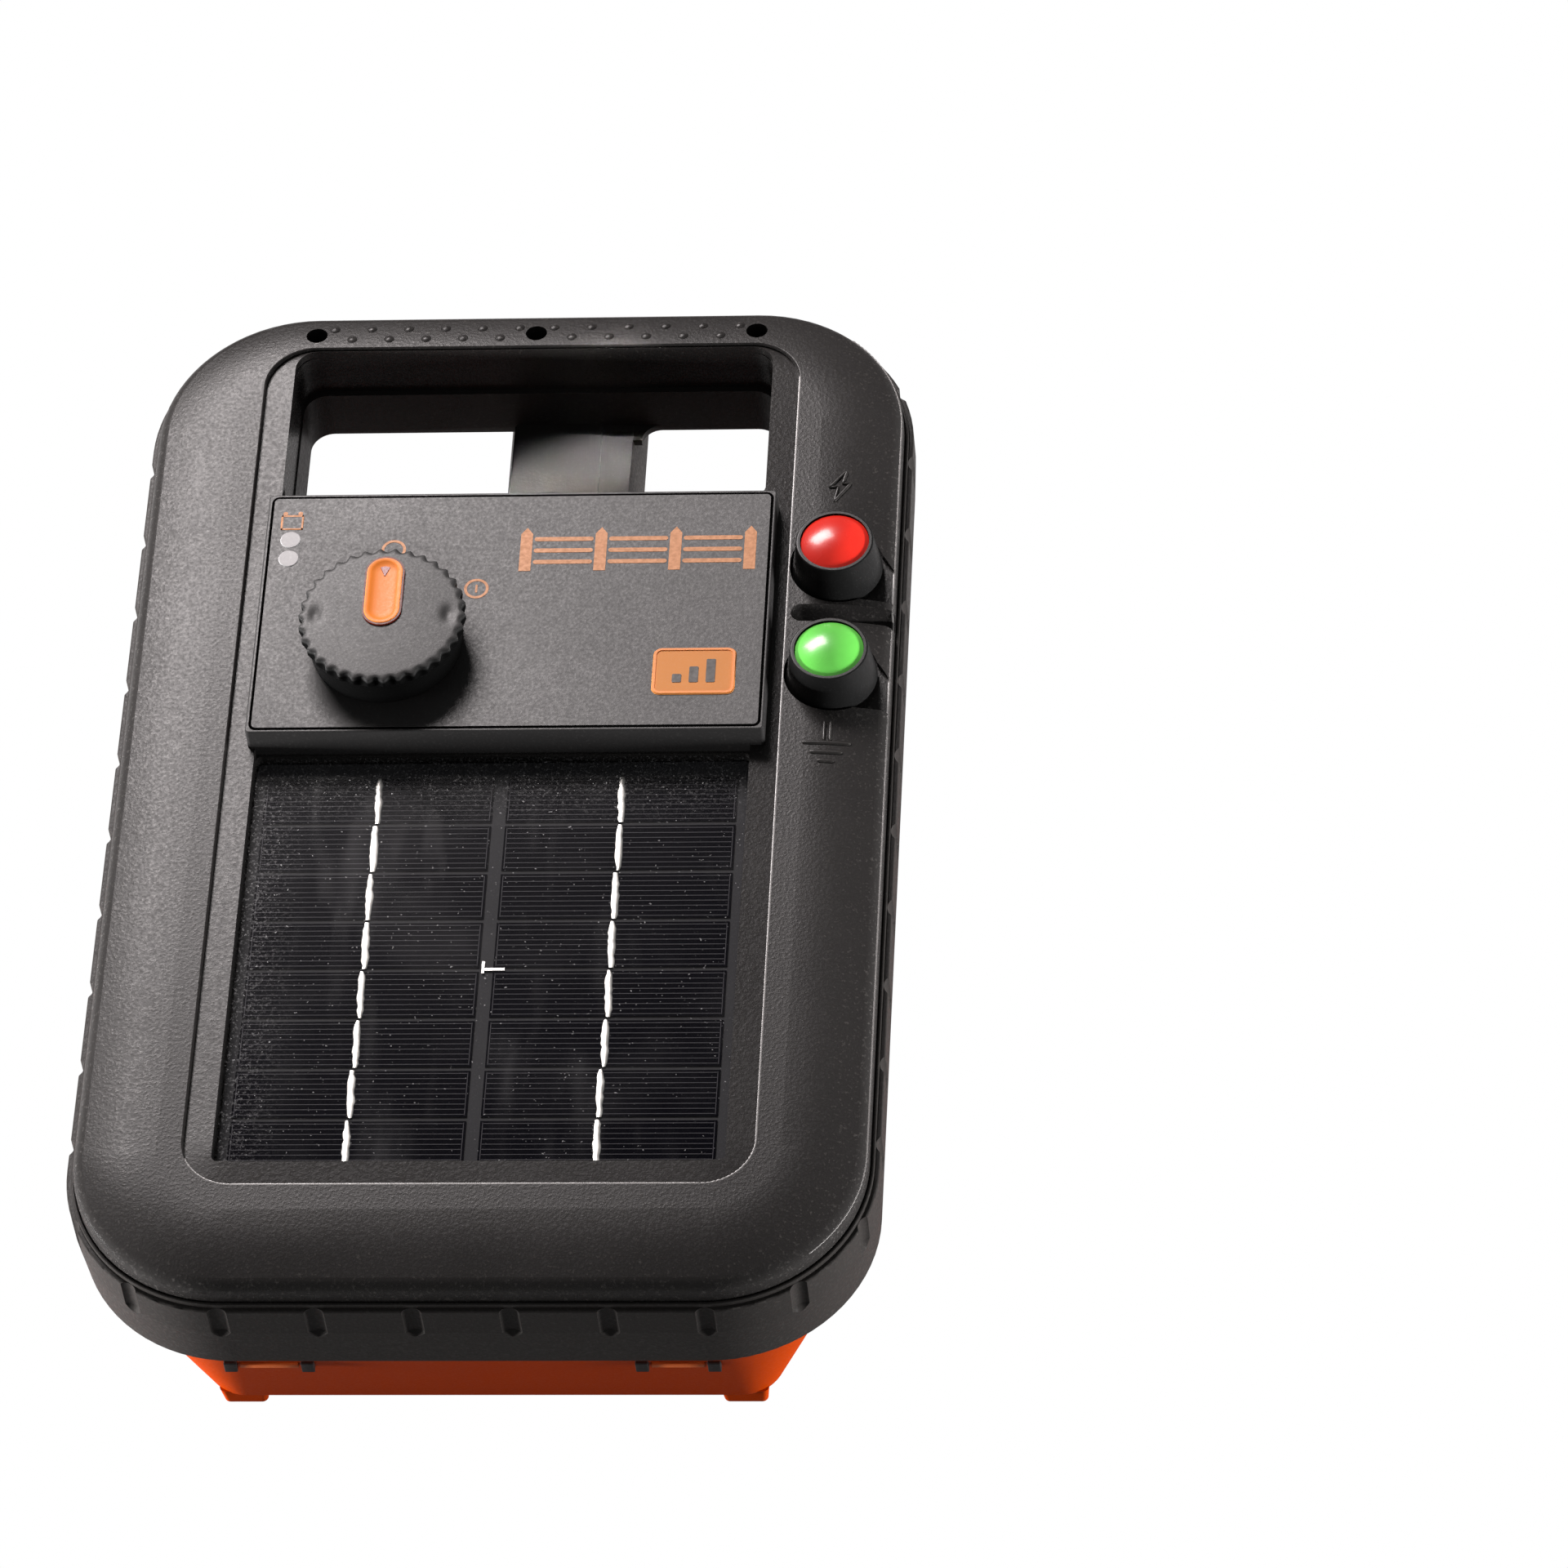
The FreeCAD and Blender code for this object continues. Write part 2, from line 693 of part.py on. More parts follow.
def screw(x, y, head_z, tip_z, shank_radius, head_radius, up):
    """Pan-head screw along Z; up is 1 when the head faces +Z."""
    head_height = 2.2
    low, high = sorted((head_z, head_z + up * head_height))
    head = disc(x, y, low, high, head_radius)
    head = rounded(head, 0.7, edges_at(head, high if up > 0 else low))
    recess_z = high - 1.2 if up > 0 else low
    cross = [block(x - 1.6, x + 1.6, y - 0.35, y + 0.35, recess_z, recess_z + 1.2),
             block(x - 0.35, x + 0.35, y - 1.6, y + 1.6, recess_z, recess_z + 1.2)]
    head = head.cut(cross[0].fuse(cross[1]))
    low, high = sorted((head_z, tip_z))
    return head.fuse(disc(x, y, low, high, shank_radius))


def handle_screws():
    shank = 1.5
    return [screw(x, handle_screw_y, frame_top + 0.05, band_bottom + 6, shank,
                  handle_hole_radius - 0.25, 1) for x in handle_screw_x]


def case_screws():
    return [screw(x, y, case_top - 8, frame_top - 0.5, case_screw_radius, 3.3, -1)
            for x, y in case_screw_places()]


# -------------------------------------------------------------- solar panel


def panel_slab(z0, z1, inset):
    return slab(-panel_half_width + inset, panel_half_width - inset, panel_low + inset,
                panel_high - inset, z0, z1, 1.2)


def solar_glass():
    pane = panel_slab(glass_bottom, glass_top, 0)
    return rounded(pane, 0.4, edges_at(pane, glass_top))


def cell_boxes():
    """Corner coordinates of every cell, column by column."""
    column_width = (2 * cell_area_half_width - cell_column_gap) / cell_columns
    pitch = (cell_area_high - cell_area_low + cell_row_gap) / cell_rows
    boxes = []
    for column in range(cell_columns):
        x0 = -cell_area_half_width + column * (column_width + cell_column_gap)
        for row in range(cell_rows):
            y0 = cell_area_low + row * pitch
            boxes.append((x0, x0 + column_width, y0, y0 + pitch - cell_row_gap))
    return boxes


def solar_cells():
    return [block(x0, x1, y0, y1, cell_bottom, cell_top) for x0, x1, y0, y1 in cell_boxes()]


def cell_ribbons():
    """One tinned ribbon down the middle of each column of cells."""
    ribbons = []
    for x0, x1, y0, y1 in cell_boxes()[::cell_rows]:
        middle = (x0 + x1) / 2
        ribbons.append(block(middle - ribbon_width / 2, middle + ribbon_width / 2,
                             cell_area_low - 0.4, cell_area_high + 0.4, cell_top, glass_bottom))
    return ribbons


def panel_backsheet():
    return panel_slab(sheet_bottom, cell_bottom, 0.2)


def panel_seal():
    ring = panel_slab(seal_bottom, sheet_bottom, 0.4)
    return ring.cut(panel_slab(seal_bottom - 1, sheet_bottom + 1, 7.0))


# ------------------------------------------------------------ control plate


def control_plate():
    floor = front_height - recess_drop
    plate = slab(plate_left, plate_right, plate_low, plate_high, floor, plate_top, 1.0)
    plate = rounded(plate, 0.5, edges_at(plate, plate_top))
    hollow = slab(plate_left + plate_skin, plate_right - plate_skin, plate_low + plate_skin,
                  plate_high - plate_skin, floor - 1, plate_top - plate_skin, 1.0)
    plate = plate.cut(hollow)
    floor_half = rim_half_width - recess_run
    ledge_top = front_height - ledge_drop + ledge_rise
    for side in (-1, 1):
        x0, x1 = sorted((side * floor_half, side * rim_half_width))
        plate = plate.cut(block(x0, x1, 0, opening_bottom, floor - 1, ledge_top))
    tools = [disc(knob_x, knob_y, floor, plate_top + 1, 6.0)]
    tools += [disc(lens_x, y, floor, plate_top + 1, lens_radius) for y in lens_rows]
    tools.append(slab(badge_left, badge_left + badge_width, badge_low, badge_low + badge_height,
                      plate_top - 0.8, plate_top + 1, 2.2))
    return cut_all(plate, tools)


def plate_badge():
    """Blank orange badge, set in its sunk place on the plate."""
    badge = slab(badge_left + 0.1, badge_left + badge_width - 0.1, badge_low + 0.1,
                 badge_low + badge_height - 0.1, plate_top - 0.8, plate_top + 0.35, 2.1)
    return rounded(badge, 0.3, edges_at(badge, plate_top + 0.35))


def indicator_lenses():
    lenses = []
    for y in lens_rows:
        lens = disc(lens_x, y, plate_top - 4, plate_top + 0.3, lens_radius - 0.1)
        lenses.append(rounded(lens, 0.25, edges_at(lens, plate_top + 0.3)))
    return lenses


def light_pipes():
    return [disc(lens_x, y, 64.5, plate_top - 4, lens_radius - 0.8) for y in lens_rows]


# ----------------------------------------------------------------- selector


def selector_knob():
    """Fluted knob with a flat top, a hub, and a sunk place for the pointer."""
    knob = Part.makeCone(knob_radius - 1.2, knob_radius, knob_top - knob_bottom,
                         Vector(knob_x, knob_y, knob_bottom))
    knob = rounded(knob, 0.9, edges_at(knob, knob_top))
    groove_radius = 2.4
    tools = []
    for index in range(knob_lobes):
        angle = 2 * math.pi * index / knob_lobes
        reach = knob_radius + groove_radius - knob_lobe_depth
        tools.append(disc(knob_x + reach * math.cos(angle), knob_y + reach * math.sin(angle),
                          knob_bottom - 1, knob_top + 1, groove_radius))
    for side in (-1, 1):
        dimple_radius = 9.0
        tools.append(Part.makeSphere(dimple_radius, Vector(knob_x + side * 16.6, knob_y + 1.5,
                                                           knob_top + dimple_radius - 0.5)))
    half = pointer_width / 2
    tools.append(slab(knob_x - half, knob_x + half, pointer_low, pointer_high,
                      knob_top - 1.6, knob_top + 1, half - 0.01))
    tools.append(disc(knob_x, knob_y, knob_bottom - 1, knob_bottom + 7.5, knob_radius - 3.6))
    knob = cut_all(knob, tools)
    hub = disc(knob_x, knob_y, plate_top - 1.5, knob_bottom + 8, 5.5)
    knob = knob.fuse(hub)
    return knob.cut(disc(knob_x, knob_y, plate_top - 3, knob_bottom + 6, shaft_radius))


def knob_pointer():
    half = pointer_width / 2 - 0.1
    bar = slab(knob_x - half, knob_x + half, pointer_low + 0.1, pointer_high - 0.1,
               knob_top - 1.6, knob_top - 0.35, half - 0.01)
    bar = rounded(bar, 0.3, edges_at(bar, knob_top - 0.35))
    dish = slab(knob_x - half + 1.6, knob_x + half - 1.6, pointer_low + 1.7, pointer_high - 1.7,
                knob_top - 0.9, knob_top, half - 1.62)
    return bar.cut(dish)


def pointer_window():
    """Small lit window at the tip of the pointer."""
    return disc(knob_x, pointer_high - 4.6, knob_top - 0.9, knob_top - 0.5, 1.3)


def selector_shaft():
    shaft = disc(knob_x, knob_y, 63.5, knob_bottom + 6, shaft_radius)
    cam = disc(knob_x, knob_y, 64.5, 66.5, 7.0)
    finger = block(knob_x - 1.5, knob_x + 1.5, knob_y + 5, knob_y + 9.0, 64.5, 66.5)
    return shaft.fuse(cam).fuse(finger)


def switch_body():
    """Rotary switch housing under the cover, holding the shaft."""
    body = slab(knob_x - 12, knob_x + 12, knob_y - 12, knob_y + 12, 62.2, 72.6, 2.0)
    body = body.cut(disc(knob_x, knob_y, 64.1, 67.0, 9.6))
    return body.cut(disc(knob_x, knob_y, 63.0, 73, shaft_radius + running_gap))


def shaft_seal():
    """Rubber ring that keeps rain out where the shaft passes the cover."""
    outer = disc(knob_x, knob_y, 73.2, 75.2, shaft_radius + 1.0)
    return outer.cut(disc(knob_x, knob_y, 73, 76, shaft_radius + 0.3))


# ---------------------------------------------------------------- terminals


def terminal_stud(y):
    """Fixed stud with a hexagonal head under the cover."""
    corners = [Vector(terminal_x + 7.5 * math.cos(math.pi * i / 3),
                      y + 7.5 * math.sin(math.pi * i / 3), 65.0) for i in range(7)]
    head = Part.Face(Part.makePolygon(corners)).extrude(Vector(0, 0, 5.3))
    shank = disc(terminal_x, y, 70.0, stud_top, stud_radius)
    shank = shank.makeChamfer(0.8, edges_at(shank, stud_top))
    return head.fuse(shank)


def terminal_washer(y):
    washer = disc(terminal_x, y, washer_bottom, washer_bottom + washer_thickness, washer_radius)
    washer = rounded(washer, 0.3, edges_at(washer, washer_bottom + washer_thickness))
    return washer.cut(disc(terminal_x, y, 70, 90, stud_radius + 0.08))


def terminal_grip(y):
    """Tapered clamping knob with a thin rim round its cap."""
    grip = Part.makeCone(grip_base_radius, grip_top_radius, grip_top - grip_bottom,
                         Vector(terminal_x, y, grip_bottom))
    grip = rounded(grip, 0.45, edges_at(grip, grip_top))
    grip = grip.cut(disc(terminal_x, y, grip_top - 2.2, grip_top + 1, cap_radius + 0.1))
    return grip.cut(disc(terminal_x, y, grip_bottom - 1, grip_top - 2, stud_radius + 0.08))


def terminal_cap(y):
    """Domed colour cap pressed into the top of the grip."""
    base = grip_top - 2.2
    rise = cap_rise + 0.6
    sphere_radius = (cap_radius ** 2 + rise ** 2) / (2 * rise)
    ball = Part.makeSphere(sphere_radius, Vector(terminal_x, y, grip_top - 0.6 + rise - sphere_radius))
    blank = disc(terminal_x, y, base, grip_top + cap_rise + 1, cap_radius)
    dome = ball.common(blank)
    return dome.fuse(disc(terminal_x, y, base, grip_top - 0.6, cap_radius)).removeSplitter()


# ------------------------------------------------------------------- inside


def battery():
    x, y, z = battery_low
    w, l, h = battery_size
    box = slab(x, x + w, y, y + l, z, z + h, 2.0)
    return rounded(box, 0.8, edges_at(box, z + h))


def battery_tabs():
    x, y, z = battery_low
    w, l, h = battery_size
    return [block(x + w * part - 3.2, x + w * part + 3.2, y + l, y + l + 6.5,
                  z + h - 9, z + h - 8.2) for part in (0.22, 0.78)]


def battery_strap():
    """Bent metal strap over the battery."""
    x, y, z = battery_low
    w, l, h = battery_size
    middle = y + l / 2
    outer = block(x - 1.8, x + w + 1.8, middle - 9, middle + 9, foot_height + case_wall, z + h + 1.8)
    inner = block(x - 0.6, x + w + 0.6, middle - 10, middle + 10, 0, z + h + 0.6)
    flanges = [block(x - 11.8, x - 1.8, middle - 9, middle + 9, foot_height + case_wall,
                     foot_height + case_wall + 1.2),
               block(x + w + 1.8, x + w + 11.8, middle - 9, middle + 9, foot_height + case_wall,
                     foot_height + case_wall + 1.2)]
    return outer.cut(inner).fuse(flanges)


def battery_pad():
    x, y, z = battery_low
    w, l, h = battery_size
    return slab(x + 2, x + w - 2, y + 2, y + l - 2, foot_height + case_wall, z, 2.0)


def circuit_board():
    x, y, z = board_low
    w, l, h = board_size
    return slab(x, x + w, y, y + l, z, z + h, 2.0)


def board_parts():
    """Relay, controller, coil and resistors on the underside of the board."""
    z = board_low[2]
    relay = slab(18, 34, 56, 72, z - 12, z, 1.0)
    chip = slab(-20, -8, 66, 78, z - 2.2, z, 0.4)
    coil = disc(44, 30, z - 10, z, 7.0)
    resistors = [slab(24 + 4 * i, 26 + 4 * i, 18, 26, z - 2, z, 0.6) for i in range(4)]
    return [relay, chip, coil] + resistors


def indicator_lamps():
    return [disc(lens_x, y, board_low[2] + board_size[2], 64.3, 1.5) for y in lens_rows]


def pulse_transformer():
    """Laminated core round a wound bobbin."""
    x, y, z = transformer_low
    w, l, h = transformer_size
    core = slab(x, x + w, y + 8, y + l - 8, z, z + h, 1.0)
    bobbin = slab(x + 8, x + w - 8, y, y + l, z + 6, z + h - 6, 5.0)
    return core.fuse(bobbin)


def storage_capacitor():
    can = Part.makeCylinder(capacitor_radius, capacitor_length, Vector(38, 14, 30), Vector(0, 1, 0))
    rim = edges_where(can, lambda p: p.y > 14 + capacitor_length - 0.01)
    return rounded(can, 1.5, rim)


def output_leads():
    """Two leads from the transformer to the heads of the studs."""
    radius = 1.6
    drop_x = terminal_x - 5.0
    leads = []
    for y, run_y in ((live_y, 47.5), (earth_y, 42.5)):
        leads.append(lead(((drop_x, y, 64.9), (drop_x, y, 56.0), (62.0, run_y, 52.5),
                           (24.0, run_y, 51.0), (10.1, run_y, 48.5)), radius, 2.6))
    return leads


def battery_leads():
    x, y, z = battery_low
    w, l, h = battery_size
    radius = 1.2
    leads = []
    for part, target in ((0.22, -44.0), (0.78, -38.0)):
        start = x + w * part
        leads.append(lead(((start, y + l + 5.2, z + h - 8.1), (start, y + l + 5.2, z + h - 1.0),
                           (target, 6.0, 56.0), (target, 15.0, 56.0),
                           (target, 15.0, 59.9)), radius, 2.4))
    return leads


# --------------------------------------------------------------------- build


def compound(shapes):
    return Part.makeCompound(shapes) if isinstance(shapes, list) else shapes


def main():
    nodes = {
        "front_cover": front_cover(),
        "rear_frame": rear_frame(),
        "rear_case": rear_case(),
        "case_gasket": case_gasket(),
        "handle_screws": handle_screws(),
        "case_screws": case_screws(),
        "solar_glass": solar_glass(),
        "solar_cells": solar_cells(),
        "cell_ribbons": cell_ribbons(),
        "panel_backsheet": panel_backsheet(),
        "panel_seal": panel_seal(),
        "control_plate": control_plate(),
        "plate_badge": plate_badge(),
        "indicator_lenses": indicator_lenses(),
        "light_pipes": light_pipes(),
        "indicator_lamps": indicator_lamps(),
        "selector_knob": selector_knob(),
        "knob_pointer": knob_pointer(),
        "pointer_window": pointer_window(),
        "selector_shaft": selector_shaft(),
        "switch_body": switch_body(),
        "shaft_seal": shaft_seal(),
        "battery": battery(),
        "battery_tabs": battery_tabs(),
        "battery_strap": battery_strap(),
        "battery_pad": battery_pad(),
        "circuit_board": circuit_board(),
        "board_parts": board_parts(),
        "pulse_transformer": pulse_transformer(),
        "storage_capacitor": storage_capacitor(),
        "output_leads": output_leads(),
        "battery_leads": battery_leads(),
    }
    for name, y in (("live", live_y), ("earth", earth_y)):
        nodes[name + "_stud"] = terminal_stud(y)
        nodes[name + "_washer"] = terminal_washer(y)
        nodes[name + "_grip"] = terminal_grip(y)
        nodes[name + "_cap"] = terminal_cap(y)
    os.makedirs("parts", exist_ok=True)
    for name, shapes in nodes.items():
        shape = compound(shapes)
        shape.exportStep(os.path.join("parts", name + ".step"))
        box = shape.BoundBox
        print("%-20s valid=%s solids=%d  x %.1f..%.1f  y %.1f..%.1f  z %.1f..%.1f" % (
            name, shape.isValid(), len(shape.Solids), box.XMin, box.XMax,
            box.YMin, box.YMax, box.ZMin, box.ZMax))


main()
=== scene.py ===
"""Looks of the solar fence energizer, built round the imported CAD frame."""
import math
import random

import bmesh
import bpy
from mathutils import Matrix, Vector
from mathutils.bvhtree import BVHTree


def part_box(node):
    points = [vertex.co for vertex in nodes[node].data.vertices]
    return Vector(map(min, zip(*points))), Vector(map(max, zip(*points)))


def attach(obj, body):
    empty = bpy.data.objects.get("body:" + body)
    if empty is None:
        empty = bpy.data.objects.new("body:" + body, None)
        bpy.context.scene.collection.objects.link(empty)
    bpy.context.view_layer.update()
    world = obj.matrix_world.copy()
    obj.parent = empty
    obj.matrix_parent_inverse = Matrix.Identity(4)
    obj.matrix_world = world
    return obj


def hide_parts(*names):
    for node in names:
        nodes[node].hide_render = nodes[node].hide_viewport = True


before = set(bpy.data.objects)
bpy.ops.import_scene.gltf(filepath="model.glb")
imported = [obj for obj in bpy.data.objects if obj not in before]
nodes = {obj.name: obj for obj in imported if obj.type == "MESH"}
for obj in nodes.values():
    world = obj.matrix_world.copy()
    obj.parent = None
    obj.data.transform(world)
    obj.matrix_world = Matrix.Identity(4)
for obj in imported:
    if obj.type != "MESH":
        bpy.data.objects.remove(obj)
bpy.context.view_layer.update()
MM = 0.001
LABEL_MARGIN = 1.5 * MM
LABEL_CORNER = 1.2 * MM
PLATE_TONE = (0.024, 0.023, 0.023)
PLATE_SPECK = (0.046, 0.0445, 0.0435)
BAND_TONE = (0.023, 0.021, 0.020)
BAND_SPECK = (0.042, 0.039, 0.037)


# ------------------------------------------------------------- frame places

def span(node):
    """Lowest and highest corner of a CAD node, as vectors."""
    low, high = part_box(node)
    return Vector(low), Vector(high)


cover_low, cover_high = span("front_cover")
plate_low, plate_high = span("control_plate")
glass_low, glass_high = span("solar_glass")
cells_low, cells_high = span("solar_cells")
knob_low, knob_high = span("selector_knob")
pointer_low, pointer_high = span("knob_pointer")
badge_low, badge_high = span("plate_badge")
lens_low, lens_high = span("indicator_lenses")
live_low, live_high = span("live_cap")
earth_low = span("earth_cap")[0]
knob_centre = (knob_low + knob_high) / 2


# ------------------------------------------------------------ camera, light

def make_camera():
    """Long lens in front of the low end, looking down at the front face."""
    elevation = math.radians(52.9)
    yaw = math.radians(8.2)
    roll = math.radians(-6.97)
    distance = 1.944
    target = Vector((70.8 * MM, -4.3 * MM, 80 * MM))
    back = Vector((math.sin(yaw) * math.cos(elevation), -math.cos(yaw) * math.cos(elevation),
                   math.sin(elevation)))
    level = Vector((math.cos(yaw), math.sin(yaw), 0))
    right = math.cos(roll) * level + math.sin(roll) * back.cross(level)
    up = back.cross(right)
    data = bpy.data.cameras.new("camera")
    data.sensor_width = 36
    data.lens = 181.7
    data.clip_end = 50
    camera = bpy.data.objects.new("camera", data)
    place = Matrix((right, up, back)).transposed().to_4x4()
    place.translation = target + back * distance
    camera.matrix_world = place
    bpy.context.collection.objects.link(camera)
    bpy.context.scene.camera = camera


def area_light(name, place, aim, size, power, colour=(1, 1, 1)):
    """Rectangular lamp at place that points at aim."""
    data = bpy.data.lights.new(name, "AREA")
    data.shape = "RECTANGLE"
    data.size, data.size_y = size
    data.energy = power
    data.color = colour
    light = bpy.data.objects.new(name, data)
    place = Vector(place)
    light.location = place
    light.rotation_euler = (Vector(aim) - place).to_track_quat("-Z", "Y").to_euler()
    bpy.context.collection.objects.link(light)
    return light


def make_lights():
    """Soft key behind the object's left shoulder, low side lights, narrow beam on the post channel."""
    area_light("key", (-0.341, 0.728, 0.816), (0, 0, 0.08), (0.552, 0.428), 15.5, (1, 0.935, 0.93))
    for name, side, power in (("right_low", 1, 15.0), ("left_low", -1, 28.0)):
        low = area_light(name, (0.80 * side, -0.16, 0.07), (0.06 * side, -0.13, 0.03),
                         (0.25, 0.12), power)
        low.visible_glossy = False
    beam = area_light("post_beam", (-0.03, 0.20, 0.48), (0.0075, 0.117, 0.042), (0.05, 0.012),
                      0.012, (1, 0.94, 0.935))
    beam.data.spread = math.radians(2.6)


def make_room():
    """Faint white light from all round, with colours shown as they are."""
    world = bpy.data.worlds.new("studio")
    world.use_nodes = True
    background = world.node_tree.nodes["Background"]
    background.inputs["Color"].default_value = (1, 1, 1, 1)
    background.inputs["Strength"].default_value = 0.12
    bpy.context.scene.world = world
    bpy.context.scene.view_settings.view_transform = "Standard"


def floor_sheet(name, colour, glow, drop):
    """Wide level sheet, set below the object's feet by drop, that shines by itself by glow."""
    bm = bmesh.new()
    bmesh.ops.create_grid(bm, x_segments=1, y_segments=1, size=4)
    mesh = bpy.data.meshes.new(name)
    bm.to_mesh(mesh)
    bm.free()
    sheet = bpy.data.objects.new(name, mesh)
    sheet.location.z = -drop
    bpy.context.collection.objects.link(sheet)
    material, _, shader = new_material(name + "_paint")
    shader.inputs["Base Color"].default_value = (*colour, 1)
    shader.inputs["Roughness"].default_value = 0.9
    shader.inputs["Specular IOR Level"].default_value = 0.0
    shader.inputs["Emission Color"].default_value = (1, 1, 1, 1)
    shader.inputs["Emission Strength"].default_value = glow
    sheet.data.materials.append(material)
    return sheet


def make_floor():
    """Evenly lit white table, and the shaded white card that the object mirrors."""
    table = floor_sheet("floor", (0.0, 0.0, 0.0), 1.0, 0.0)
    table.visible_diffuse = False
    table.visible_glossy = False
    table.visible_shadow = False
    card = floor_sheet("floor_card", (0.26, 0.26, 0.26), 0.0, 0.0005)
    card.visible_camera = False


# ---------------------------------------------------------------- materials

def new_material(name):
    """Material with its node tree and its shader."""
    material = bpy.data.materials.new(name)
    material.use_nodes = True
    tree = material.node_tree
    return material, tree, tree.nodes["Principled BSDF"]


def node(tree, kind, **values):
    """New node with the given input values."""
    made = tree.nodes.new(kind)
    for key, value in values.items():
        made.inputs[key].default_value = value
    return made


def object_coords(tree):
    return tree.nodes.new("ShaderNodeTexCoord").outputs["Object"]


def noise(tree, coords, scale, detail=2.0, roughness=0.5):
    made = node(tree, "ShaderNodeTexNoise", Scale=scale, Detail=detail, Roughness=roughness)
    tree.links.new(coords, made.inputs["Vector"])
    return made.outputs["Fac"]


def stretched(tree, coords, scale):
    """Coordinates scaled apart, for streaks."""
    made = tree.nodes.new("ShaderNodeMapping")
    made.inputs["Scale"].default_value = scale
    tree.links.new(coords, made.inputs["Vector"])
    return made.outputs["Vector"]


def remap(tree, value, low, high, to_low, to_high):
    """Value stretched from low..high to to_low..to_high, and clamped."""
    made = tree.nodes.new("ShaderNodeMapRange")
    for key, number in (("From Min", low), ("From Max", high), ("To Min", to_low), ("To Max", to_high)):
        made.inputs[key].default_value = number
    tree.links.new(value, made.inputs["Value"])
    return made.outputs["Result"]


def combine(tree, operation, first, second):
    """Math node on two sockets or a socket and a number."""
    made = tree.nodes.new("ShaderNodeMath")
    made.operation = operation
    for socket, value in zip(made.inputs, (first, second)):
        if isinstance(value, (int, float)):
            socket.default_value = value
        else:
            tree.links.new(value, socket)
    return made.outputs["Value"]


def mix_colour(tree, factor, first, second):
    """Blend of two colours or colour sockets."""
    made = tree.nodes.new("ShaderNodeMix")
    made.data_type = "RGBA"
    sockets = {"Factor": made.inputs[0], "A": made.inputs[6], "B": made.inputs[7]}
    tree.links.new(factor, sockets["Factor"])
    for key, value in (("A", first), ("B", second)):
        if isinstance(value, tuple):
            sockets[key].default_value = (*value, 1)
        else:
            tree.links.new(value, sockets[key])
    return made.outputs[2]


def bump(tree, shader, height, strength, distance):
    made = node(tree, "ShaderNodeBump", Strength=strength, Distance=distance)
    tree.links.new(height, made.inputs["Height"])
    tree.links.new(made.outputs["Normal"], shader.inputs["Normal"])


def moulded_plastic(name, colour, speck, roughness=0.5, grain=1500.0, depth=0.00006,
                    specular=0.5, cloud=0.25, mottle=0.06):
    """Spark-textured moulding: fine grain, paler specks, patchy gloss, slow tone drift."""
    material, tree, shader = new_material(name)
    coords = object_coords(tree)
    fine = noise(tree, coords, grain, 3.0, 0.6)
    slow = noise(tree, coords, 22.0, 3.0, 0.5)
    specks = remap(tree, fine, 0.56, 0.78, 0.0, 1.0)
    drift = remap(tree, slow, 0.3, 0.7, 0.0, cloud)
    toned = mix_colour(tree, drift, colour, tuple(min(1.0, c * 1.7) for c in colour))
    surface = mix_colour(tree, specks, toned, speck)
    tree.links.new(surface, shader.inputs["Base Color"])
    rough = combine(tree, "ADD", remap(tree, fine, 0.3, 0.7, roughness + mottle, roughness - mottle),
                    remap(tree, slow, 0.3, 0.7, -0.03, 0.03))
    tree.links.new(rough, shader.inputs["Roughness"])
    shader.inputs["Specular IOR Level"].default_value = specular
    bump(tree, shader, fine, 0.6, depth)
    return material


def glossy_cap(name, colour, deep):
    """Glossy injection-moulded cap with a faint orange-peel surface."""
    material, tree, shader = new_material(name)
    coords = object_coords(tree)
    slow = noise(tree, coords, 160.0, 2.0, 0.5)
    tree.links.new(mix_colour(tree, remap(tree, slow, 0.3, 0.7, 0.0, 1.0), colour, deep),
                   shader.inputs["Base Color"])
    tree.links.new(remap(tree, slow, 0.3, 0.7, 0.24, 0.32), shader.inputs["Roughness"])
    shader.inputs["Coat Weight"].default_value = 0.25
    shader.inputs["Coat Roughness"].default_value = 0.12
    bump(tree, shader, noise(tree, coords, 420.0, 2.0, 0.5), 0.25, 0.00003)
    return material


def ink(name, colour):
    """Printed ink with slightly uneven cover."""
    material, tree, shader = new_material(name)
    uneven = noise(tree, object_coords(tree), 900.0, 3.0, 0.6)
    worn = tuple(c * 0.72 for c in colour)
    tree.links.new(mix_colour(tree, remap(tree, uneven, 0.35, 0.7, 0.0, 1.0), colour, worn),
                   shader.inputs["Base Color"])
    tree.links.new(remap(tree, uneven, 0.3, 0.7, 0.42, 0.55), shader.inputs["Roughness"])
    return material


